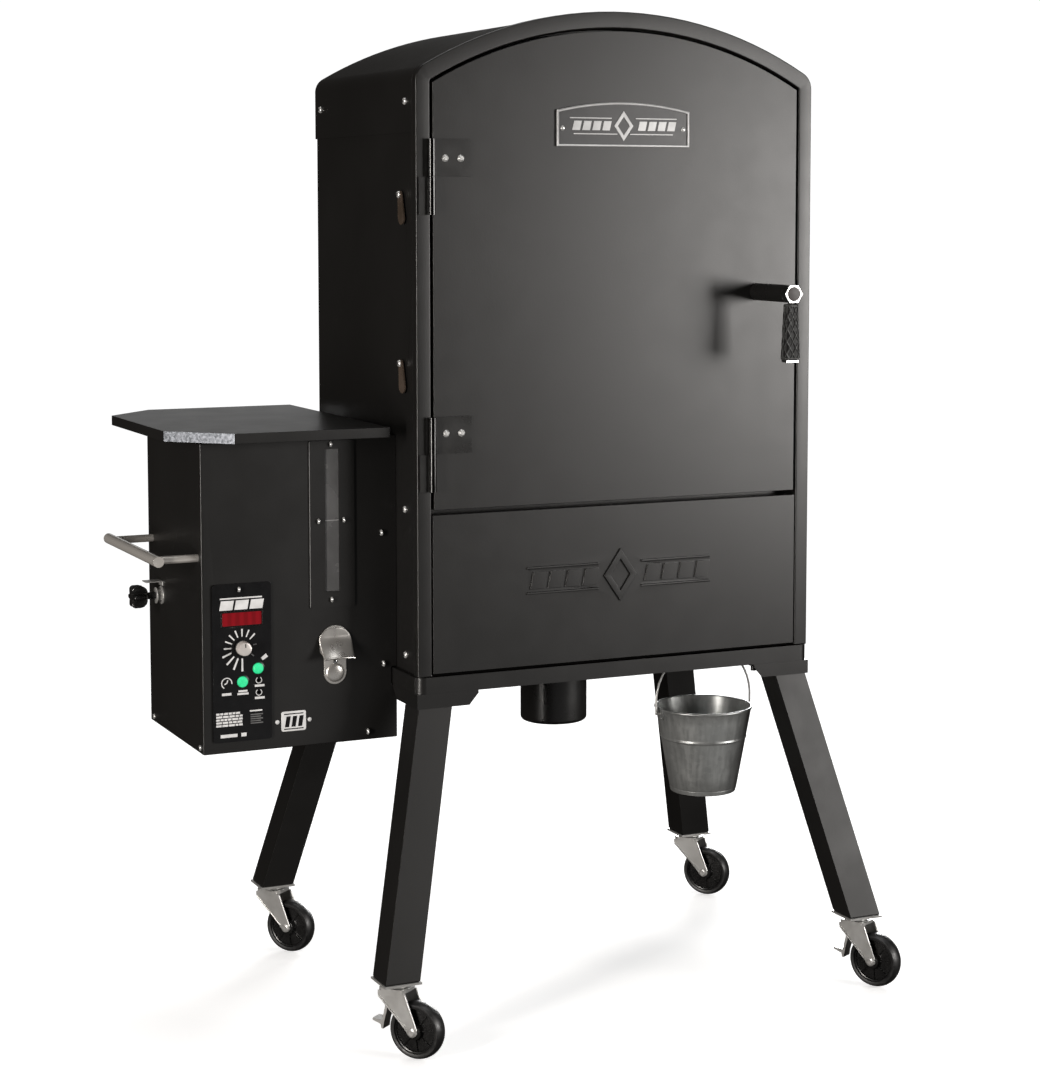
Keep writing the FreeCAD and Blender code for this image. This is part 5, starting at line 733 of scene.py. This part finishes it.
AROUND, ALONG = 120, 110
TOP_WIDE, TOP_DEEP, FOOT_WIDER, FOOT_DEEPER = 9.4, 7.4, 3.9, 1.4
DIAMONDS_AROUND, DIAMONDS_ALONG = 8, 4.5
RIDGE, SLOPE, DEEP = 0.06, 0.06, 0.9
grip_box = mm_box("handle_grip")
grip_x, grip_y = (grip_box[0] + grip_box[1]) / 2, (grip_box[2] + grip_box[3]) / 2
grip_low, grip_high = grip_box[4], grip_box[5]
grip = Shape()
sections, groove_shade_cells = [], set()
for k in range(ALONG + 1):
    share = k / ALONG
    wide, deep = TOP_WIDE + FOOT_WIDER * (1 - share), TOP_DEEP + FOOT_DEEPER * (1 - share)
    end = min(1.0, min(share, 1 - share) / 0.035)
    end = math.sqrt(max(0.0, 1 - (1 - end) ** 2)) * 0.2 + 0.8
    plain = share < 0.04 or share > 0.96
    section = []
    for i in range(AROUND):
        angle = math.tau * i / AROUND
        c, q = math.cos(angle), math.sin(angle)
        bulge = (abs(c) ** 4 + abs(q) ** 4) ** -0.25
        x, y = wide * bulge * c * end, deep * bulge * q * end
        across, down = i / AROUND * DIAMONDS_AROUND, share * DIAMONDS_ALONG
        line = min(abs((across + down) % 1 - 0.5), abs((across - down) % 1 - 0.5))
        sunk = 0.0 if plain else min(1.0, max(0.0, line - RIDGE) / SLOPE) * DEEP
        if k < ALONG and sunk > 0.4:
            groove_shade_cells.add(k * AROUND + i)
        section.append((grip_x + x - sunk * c, grip_y + y - sunk * q,
                        grip_low + share * (grip_high - grip_low)))
    sections.append(section)
grip.loft(sections)
grip_piece = grip.done("handle_grip_knurled", "door_handle", grip_ridge, "grip_plastic",
                       replaces=["handle_grip"])
# The sunk knurl cells take the near-black copy: painted shade in the grooves.
grip_piece.data.materials.append(grip_plastic)
for cell in groove_shade_cells:
    grip_piece.data.polygons[cell].material_index = 1
SPINDLE_Z = 1030.0
Shape().lathe((grip_x, nut_front, SPINDLE_Z), (0, -1, 0),
              [(10.4, -0.6), (10.4, 0.3), (10.1, 0.7), (9.4, 0.9), (0, 0.9)], 40).done(
    "handle_nut_plug", "door_handle", plug_plastic, "knob_plastic")


# --- pail ---

pail = mm_box("grease_bucket")
pail_x, pail_y = (pail[0] + pail[1]) / 2, (pail[2] + pail[3]) / 2
pail_low, pail_rim = pail[4], pail[5]
RIM_R, FOOT_R = 73.0, 49.0
BEAD_DOWN, BEAD_PROUD = 47, 1.3


def pail_r(height):
    """Outer radius at a height above the pail's lower edge."""
    return FOOT_R + (RIM_R - 1 - FOOT_R) * height / (pail_rim - 3 - pail_low)


tall = pail_rim - pail_low
bead = tall - BEAD_DOWN
outside = [(FOOT_R - 0.8, 0.0), (FOOT_R, 0.4)]
outside += [(pail_r(h), h) for h in (3, 5.5)] + [(pail_r(6.5) - 0.7, 6.5), (pail_r(8), 8)]
outside += [(pail_r(h), h) for h in (25, 50, bead - 4)]
outside += [(pail_r(bead + d) + BEAD_PROUD * math.cos(d * math.pi / 5) ** 2 * (abs(d) < 2.5), bead + d)
            for d in (-2.4, -1.4, -0.6, 0, 0.6, 1.4, 2.4)]
outside += [(pail_r(h), h) for h in (bead + 4, tall - 20, tall - 6)]
roll = [(RIM_R - 0.9 + 1.9 * math.cos(math.radians(a)), tall - 2.2 + 2.0 * math.sin(math.radians(a)))
        for a in range(-80, 200, 20)]
inside = [(pail_r(h) - 1.9, h) for h in (tall - 8, bead, 30, 6.5)]
Shape().lathe((pail_x, pail_y, pail_low), (0, 0, 1),
              outside + roll + inside + [(0, 5.0), (0, 3.6), (FOOT_R - 2.5, 3.6), (FOOT_R - 2.2, 0.4),
                                         (FOOT_R - 0.8, 0.0)], 96).done(
    "pail_body", "bucket", galvanised_sheet, "galvanised", replaces=["grease_bucket"])
details = Shape()
SEAM_TURN = math.radians(-25)
sections = []
for k in range(13):
    height = 3 + (tall - 8) * k / 12
    radius = pail_r(height)
    section = []
    for offset, proud in ((-4.5, 0.0), (-4.0, 0.55), (4.0, 0.75), (4.4, 0.0)):
        angle = SEAM_TURN + offset / radius
        section.append((pail_x + (radius + proud) * math.cos(angle),
                        pail_y + (radius + proud) * math.sin(angle), pail_low + height))
    sections.append(section)
details.loft(sections)
for side in (-1, 1):
    ear_x = pail_x + side * (pail_r(tall - 10) + 0.2)
    outline = [(pail_y + 8 * math.cos(a),
                pail_rim - 9 - (9 if math.sin(a) > 0 else 6.75) * math.sin(a))
               for a in (math.tau * i / 24 for i in range(24))]
    lean = (RIM_R - 1 - FOOT_R) / (tall - 3)
    details.loft([[(ear_x + side * out + side * lean * (z - pail_rim + 10), y, z) for y, z in outline]
                  for out in (0.0, 1.4)])
    details.lathe((ear_x + side * 1.4, pail_y, pail_rim - 15.2), (side, 0, 0),
                  [(1.9, -0.2), (1.8, 0.3), (1.2, 0.7), (0, 0.9)], 16)
details.done("pail_seam_and_ears", "bucket", galvanised_sheet, "galvanised", edge=0.15)


# --- casters ---

CROWN_R = 19.9  # the tread is crowned on this radius
TYRE_HALF, BEAD_R = 10.9, 30.5
BEAD = [(BEAD_R, 8.6), (31.6, 10.2), (33.5, TYRE_HALF), (36.0, TYRE_HALF)]
HUB = [(30.6, -8.0), (29.4, -7.6), (28.2, -5.4), (13.5, -5.8), (12.2, -7.2), (11.2, -12.6),
       (10.2, -13.2), (6.4, -13.2), (6.0, -12.2), (4.1, -12.2)]
RIBS, RIB_INNER, RIB_OUTER = 8, (12.0, 8.4), (28.8, 7.4)  # each end's reach and top
AXLE_FACE, RIM_FACE, RIM_WIRE_R = 16.5, 16.8, 1.3
FORK_EDGES = (((40.6, 44), (22, 90)), ((24.2, 44), (-18.5, 85)))  # (reach, height) of both ends


def joint_named(name):
    return next(joint for joint in frame["joints"] if joint["name"] == name)


def wheel(corner, middle, axis, wheel_r):
    """Crowned tyre, dished hub and its ribs."""
    tread = [math.radians(d) for d in range(-33, 34, 6)]
    tyre = [(r, -x) for r, x in BEAD]
    tyre += [(wheel_r + CROWN_R * (math.cos(b) - 1) - 0.1, CROWN_R * math.sin(b)) for b in tread]
    tyre += reversed(BEAD)
    Shape().lathe(middle, axis, tyre + tyre[:1], 72).done(
        "wheel_tyre_" + corner, "wheel_" + corner, rubber, "caster_rubber",
        replaces=["caster_wheel_" + corner])
    Shape().lathe(middle, axis, HUB + [(r, -x) for r, x in reversed(HUB)] + HUB[:1], 60).done(
        "wheel_hub_" + corner, "wheel_" + corner, knob_plastic, "knob_plastic")
    ribs = Shape()
    across = axis.orthogonal().normalized()
    other = axis.cross(across)
    for index in range(RIBS):
        angle = math.tau * index / RIBS
        out = across * math.cos(angle) + other * math.sin(angle)
        side = axis.cross(out)
        for face in (-1, 1):
            ribs.loft([[middle + out * r + side * w + axis * face * d for r, w, d in
                        ((reach, -1.1, 5.2), (reach, 1.1, 5.2), (reach, 0.7, top), (reach, -0.7, top))]
                       for reach, top in (RIB_INNER, RIB_OUTER)])
    ribs.done("wheel_ribs_" + corner, "wheel_" + corner, knob_plastic, "knob_plastic", edge=0.2)


def fork_trim(corner, middle, axis):
    """Domed axle ends, and the rolled edges of the fork's cheeks."""
    trim = Shape()
    kingpin = (Vector(joint_named("swivel_" + corner)["pos_m"]) - DATUM) / MM
    ahead = Vector((middle.x - kingpin.x, middle.y - kingpin.y, 0)).normalized()
    for face in (-1, 1):
        trim.lathe(middle + axis * face * AXLE_FACE, axis * face,
                   [(6.6, -0.1), (6.4, 0.6), (5.4, 1.3), (3.2, 1.8), (0, 2.0)], 32)
    for face in (-1, 1):
        side = kingpin + axis * face * RIM_FACE
        for ends in FORK_EDGES:
            trim.tube([Vector((side.x, side.y, z)) + ahead * reach for reach, z in ends],
                      RIM_WIRE_R, 10)
    trim.done("fork_rims_" + corner, "fork_" + corner, zinc_plate, "zinc_plate")


for corner in corner_names:
    low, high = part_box("caster_wheel_" + corner)
    axle = joint_named("roll_" + corner)
    axis, middle = Vector(axle["axis"]), (Vector(axle["pos_m"]) - DATUM) / MM
    wheel(corner, middle, axis, (high.z - low.z) / 2 / MM)
    fork_trim(corner, middle, axis)


# --- racks and feed screw ---

RACK_BARS, BARS_IN = 31, 14
FRAME_WIRE_R, CROSS_WIRE_R, BAR_R = 2.0, 1.6, 1.4
RACK_CORNER = 14
for level, box in enumerate(sorted(islands("cooking_racks"), key=lambda b: b[2][0]), start=1):
    (x0, x1), (y0, y1), (z0, z1) = box
    rack = Shape()
    mid_z = (z0 + z1) / 2
    inset = RACK_CORNER + FRAME_WIRE_R
    loop = []
    for cx, cy, turn in ((x1 - inset, y0 + inset, -90), (x1 - inset, y1 - inset, 0),
                         (x0 + inset, y1 - inset, 90), (x0 + inset, y0 + inset, 180)):
        for k in range(7):
            angle = math.radians(turn + 15 * k)
            loop.append((cx + RACK_CORNER * math.cos(angle), cy + RACK_CORNER * math.sin(angle), mid_z))
    rack.tube(loop, FRAME_WIRE_R, 10, closed=True)
    for y in (y0 + (y1 - y0) / 3, y0 + 2 * (y1 - y0) / 3):
        rack.tube([(x0 + 2, y, mid_z - 0.5), (x1 - 2, y, mid_z - 0.5)], CROSS_WIRE_R, 8)
    for index in range(RACK_BARS):
        x = x0 + BARS_IN + (x1 - x0 - 2 * BARS_IN) * index / (RACK_BARS - 1)
        rack.tube([(x, y0 + 2.2, mid_z + 0.5), (x, y1 - 2.2, mid_z + 0.5)], BAR_R, 8)
    rack.done(f"wire_rack_{level}", "cabinet", wire, "rack_wire",
              replaces=["cooking_racks"] if level == 1 else [])

PITCH, PER_TURN = 32.0, 28
SHAFT_R, FLIGHT_R, FLIGHT_IN = 6.0, 17.8, 10
screw_x0, screw_x1, screw_y0, screw_y1, screw_z0, screw_z1 = mm_box("auger_screw")
screw_y, screw_z = (screw_y0 + screw_y1) / 2, (screw_z0 + screw_z1) / 2
feed = Shape()
feed.tube([(screw_x0, screw_y, screw_z), (screw_x1, screw_y, screw_z)], SHAFT_R, 20)
turns = int((screw_x1 - screw_x0 - 2 * FLIGHT_IN) / PITCH)
sections = []
for k in range(turns * PER_TURN + 1):
    angle = math.tau * k / PER_TURN
    x = screw_x0 + FLIGHT_IN + PITCH * k / PER_TURN
    c, q = math.cos(angle), math.sin(angle)
    sections.append([(x + dx, screw_y + r * c, screw_z + r * q) for r, dx in
                     ((5.5, -1.2), (FLIGHT_R, -0.8), (FLIGHT_R, 0.8), (5.5, 1.2))])
feed.loft(sections)
feed.done("feed_screw", "auger", cast_steel, "cast_screw", replaces=["auger_screw"])


# --- bottle opener ---

opener = mm_box("bottle_opener")
opener_x, opener_y = (opener[0] + opener[1]) / 2, opener[3]
TONGUE_R, HEAD_R, HEAD_Z = 16.5, 22, 550
NECK_LOW, NECK_HIGH = 528, 536
PLATE_THICK = 1.8
outline = [(opener_x + TONGUE_R * math.cos(a), opener[4] + TONGUE_R + TONGUE_R * math.sin(a))
           for a in (math.radians(d) for d in range(180, 361, 12))]
outline += [(opener_x + TONGUE_R, NECK_LOW), (opener_x + HEAD_R, NECK_HIGH), (opener_x + HEAD_R, HEAD_Z)]
outline += [(opener_x + HEAD_R * math.cos(a), HEAD_Z + HEAD_R * math.sin(a)) for a in
            (math.radians(d) for d in range(12, 180, 12))]
outline += [(opener_x - HEAD_R, HEAD_Z), (opener_x - HEAD_R, NECK_HIGH), (opener_x - TONGUE_R, NECK_LOW)]
Shape().slab(outline, opener_y - PLATE_THICK, opener_y).done(
    "opener_plate", "cabinet", stainless, "stainless", edge=0.6, replaces=["bottle_opener"])
HOOD_TOP, FOLD, LIP = opener[5] - 1, 557.0, 529.0
HOOD_HALF, HOOD_OFF, HOOD_OUT = 24.0, 2.3, 17.5
HOOD_ROWS, LIP_R = 28, 1.3
hood = Shape()
rows = []
for k in range(HOOD_ROWS + 1):
    height = HOOD_TOP - k / HOOD_ROWS * (HOOD_TOP - LIP)
    above = max(0.0, height - HEAD_Z) / (HOOD_TOP + 0.5 - HEAD_Z)
    half_wide = HOOD_HALF * math.sqrt(1 - above ** 2)
    if not above:
        half_wide = HOOD_HALF - 1.5 * (HEAD_Z - height) / (HEAD_Z - LIP)
    fall = max(0.0, (FOLD - height) / (FOLD - LIP))
    out = HOOD_OFF + HOOD_OUT * fall ** 1.5
    rows.append([(opener_x + half_wide * u, opener_y - out - (0.5 + 1.8 * fall) * (1 - u * u),
                  height - 1.5 * fall * u * u) for u in (-1 + i / 10 for i in range(21))])
hood.bridge([hood.ring(row) for row in rows], around=False)
hood_piece = hood.done("opener_hood", "cabinet", stainless, "stainless")
thick = hood_piece.modifiers.new("sheet", "SOLIDIFY")
thick.thickness = 0.0012
thick.offset = -1
Shape().tube([(x, y - 0.2, z) for x, y, z in rows[-1]], LIP_R, 10).done(
    "opener_lip", "cabinet", stainless, "stainless")
BOSS_Z, OPENER_SCREW_Z = 505, 521
Shape().lathe((opener_x, opener_y - 1.9, BOSS_Z), (0, -1, 0),
              [(13.5, -0.3), (12.5, 0.8), (10, 1.9), (6, 2.7), (0, 3.0)], 40).done(
    "opener_tongue", "cabinet", stainless, "stainless")
Shape().lathe((opener_x, opener_y - PLATE_THICK, OPENER_SCREW_Z), (0, -1, 0),
              [(3.2, -0.2), (3.0, 0.7), (2.0, 1.2), (0, 1.4)], 24).done(
    "opener_screw", "cabinet", chrome, "zinc_plate")


# --- level window ---

window = mm_box("window_pane")
PANE_JOINT, JOINT_HALF = 719.5, 0.6
joint_line = Shape()
joint_line.block(window[0] + 0.3, window[1] - 0.3, window[2] - 0.25, window[2] + 0.5,
                 PANE_JOINT - JOINT_HALF, PANE_JOINT + JOINT_HALF)
joint_line.done("pane_joint", "cabinet", plate_metal, "clear_pane", edge=0.1)


# --- clean-out fittings ---

knob = mm_box("clean_out_knob")
knob_y, knob_z = (knob[2] + knob[3]) / 2, (knob[4] + knob[5]) / 2
wall = mm_box("hopper_shell")[0]
fittings = Shape()
fittings.lathe((wall, knob_y, knob_z), (-1, 0, 0), [(13, -0.1), (13, 1.4), (12.4, 1.9), (5.2, 1.9)], 40)
fittings.lathe((wall - 2, knob_y, knob_z), (-1, 0, 0), [(9, -0.1), (9, 5.2), (8.2, 6), (5.2, 6)], 6)
fittings.lathe((wall - 8, knob_y, knob_z), (-1, 0, 0),
               [(11.5, 0), (11.5, 1.2), (11, 1.6), (5.2, 1.6)], 40)
fittings.done("clean_out_washers", "clean_out", zinc_plate, "zinc_plate", edge=0.2)
LOBES, STAR_R, LOBE_R = 6, 13.6, 4.2
STAR_ROWS = ((0.0, 0.55), (0.6, 0.8), (2.4, 0.93), (5.0, 1.0), (13.0, 1.0), (18.0, 0.92), (22.0, 0.72),
             (24.0, 0.5))  # (distance in from the knob's face, scale)
star = Shape()
star_face = knob[0]
star.loft([[(star_face + along, knob_y + r * math.cos(a), knob_z + r * math.sin(a)) for r, a in
            ((scale * (STAR_R + LOBE_R * math.cos(LOBES * a)), a) for a in
             (math.tau * i / 96 for i in range(96)))] for along, scale in STAR_ROWS])
star.lathe((star_face + 6, knob_y, knob_z), (1, 0, 0),
           [(0, 0), (5, 0.2), (5, 51.5), (4.4, 52), (0, 52)], 32)
star.done("clean_out_star", "clean_out", knob_plastic, "knob_plastic", replaces=["clean_out_knob"])
STRAP_HALF, STRAP_LONG = 10, 26
strap = Shape()
for reach, low, high in ((STRAP_LONG, 20, 21.5), (1.6, 14, 21)):
    strap.block(wall - reach, wall, knob_y - STRAP_HALF, knob_y + STRAP_HALF, knob_z + low, knob_z + high)
strap.done("clean_out_strap", "cabinet", zinc_plate, "zinc_plate", edge=0.4)


# --- floor, light and camera ---

def white_stage():
    """Pale floor that fades into a white surround; it lights nothing itself."""
    floor_mesh = bmesh.new()
    bmesh.ops.create_circle(floor_mesh, cap_ends=True, segments=96, radius=FLOOR_R)
    data = bpy.data.meshes.new("floor")
    floor_mesh.to_mesh(data)
    floor_mesh.free()
    floor = bpy.data.objects.new("floor", data)
    floor.location.z = -0.0005
    bpy.context.scene.collection.objects.link(floor)
    floor.visible_diffuse = floor.visible_glossy = floor.visible_transmission = False
    tree = Tree("floor_paint", roughness=0.9, specular_ior_level=0.1, emission_strength=0.55)
    speck = tree.noise(1.5)
    tree.set("Base Color", tree.ramp(speck, (0.3, (0.86, 0.86, 0.86)), (0.7, (0.88, 0.88, 0.88))))
    tree.set("Emission Color", tree.ramp(speck, (0.3, (0.98, 0.98, 0.98)), (0.7, (1, 1, 1))))
    reach = tree.add("VectorMath", {0: tree.place}, operation="LENGTH").outputs["Value"]
    tree.set("Alpha", tree.between(reach, 1.0, 0.0, FLOOR_R * 0.45, FLOOR_R * 0.98))
    data.materials.append(tree.material)
    world = bpy.data.worlds.new("studio")
    bpy.context.scene.world = world
    world.use_nodes = True
    nodes, links = world.node_tree.nodes, world.node_tree.links
    backdrop = nodes["Background"]
    backdrop.inputs["Color"].default_value = (1, 1, 1, 1)
    backdrop.inputs["Strength"].default_value = 1.05
    dim = nodes.new("ShaderNodeBackground")
    dim.inputs["Color"].default_value = (1.0, 0.9, 0.8, 1)
    dim.inputs["Strength"].default_value = 0.022
    seen = nodes.new("ShaderNodeLightPath")
    mix = nodes.new("ShaderNodeMixShader")
    links.new(seen.outputs["Is Camera Ray"], mix.inputs["Fac"])
    links.new(dim.outputs[0], mix.inputs[1])
    links.new(backdrop.outputs[0], mix.inputs[2])
    links.new(mix.outputs[0], nodes["World Output"].inputs["Surface"])


def softbox(name, place, aim, wide, high, watts, colour=(1, 1, 1)):
    light = bpy.data.lights.new(name, "AREA")
    light.shape = "RECTANGLE"
    light.size, light.size_y, light.energy, light.color = wide, high, watts, colour
    thing = bpy.data.objects.new(name, light)
    thing.location = place
    thing.rotation_euler = (Vector(aim) - Vector(place)).to_track_quat("-Z", "Y").to_euler()
    thing.visible_camera = False
    bpy.context.scene.collection.objects.link(thing)


FLOOR_R = 2.9
white_stage()
softbox("key", (2.95, -3.1, 1.05), (0.1, -0.1, 0.9), 1.8, 1.3, 128, (1, 0.97, 0.94))
softbox("rear_key", (2.6, 3.2, 1.1), (0.1, 0.4, 0.8), 1.8, 1.3, 150)
softbox("overhead", (0.4, 0.3, 3.4), (0, 0, 0), 2.6, 2.2, 45)
softbox("left_strip", (-2.9, -1.5, 0.85), (-0.1, -0.1, 0.6), 0.35, 2.0, 95, (1, 0.95, 0.9))
softbox("back_card", (1.3, 3.3, 1.2), (-0.2, 0, 0.95), 2.4, 1.4, 5)
softbox("floor_glow", (0.05, -1.9, 0.003), (0.05, -1.9, 1), 1.7, 2.6, 3.2)

LENS, SHIFT_X, SHIFT_Y = 79.56, -0.0211, -0.1159
camera = bpy.data.cameras.new("camera")
camera.sensor_width = 36
camera.lens = LENS
camera.shift_x, camera.shift_y = SHIFT_X, SHIFT_Y
viewer = bpy.data.objects.new("camera", camera)
viewer.location = at(-1542.2, -3047.7, 1156.8)
viewer.rotation_euler = (math.radians(84.9), math.radians(0.0), math.radians(-25.0))
bpy.context.scene.collection.objects.link(viewer)
bpy.context.scene.camera = viewer
bpy.context.scene.view_settings.view_transform = "Standard"
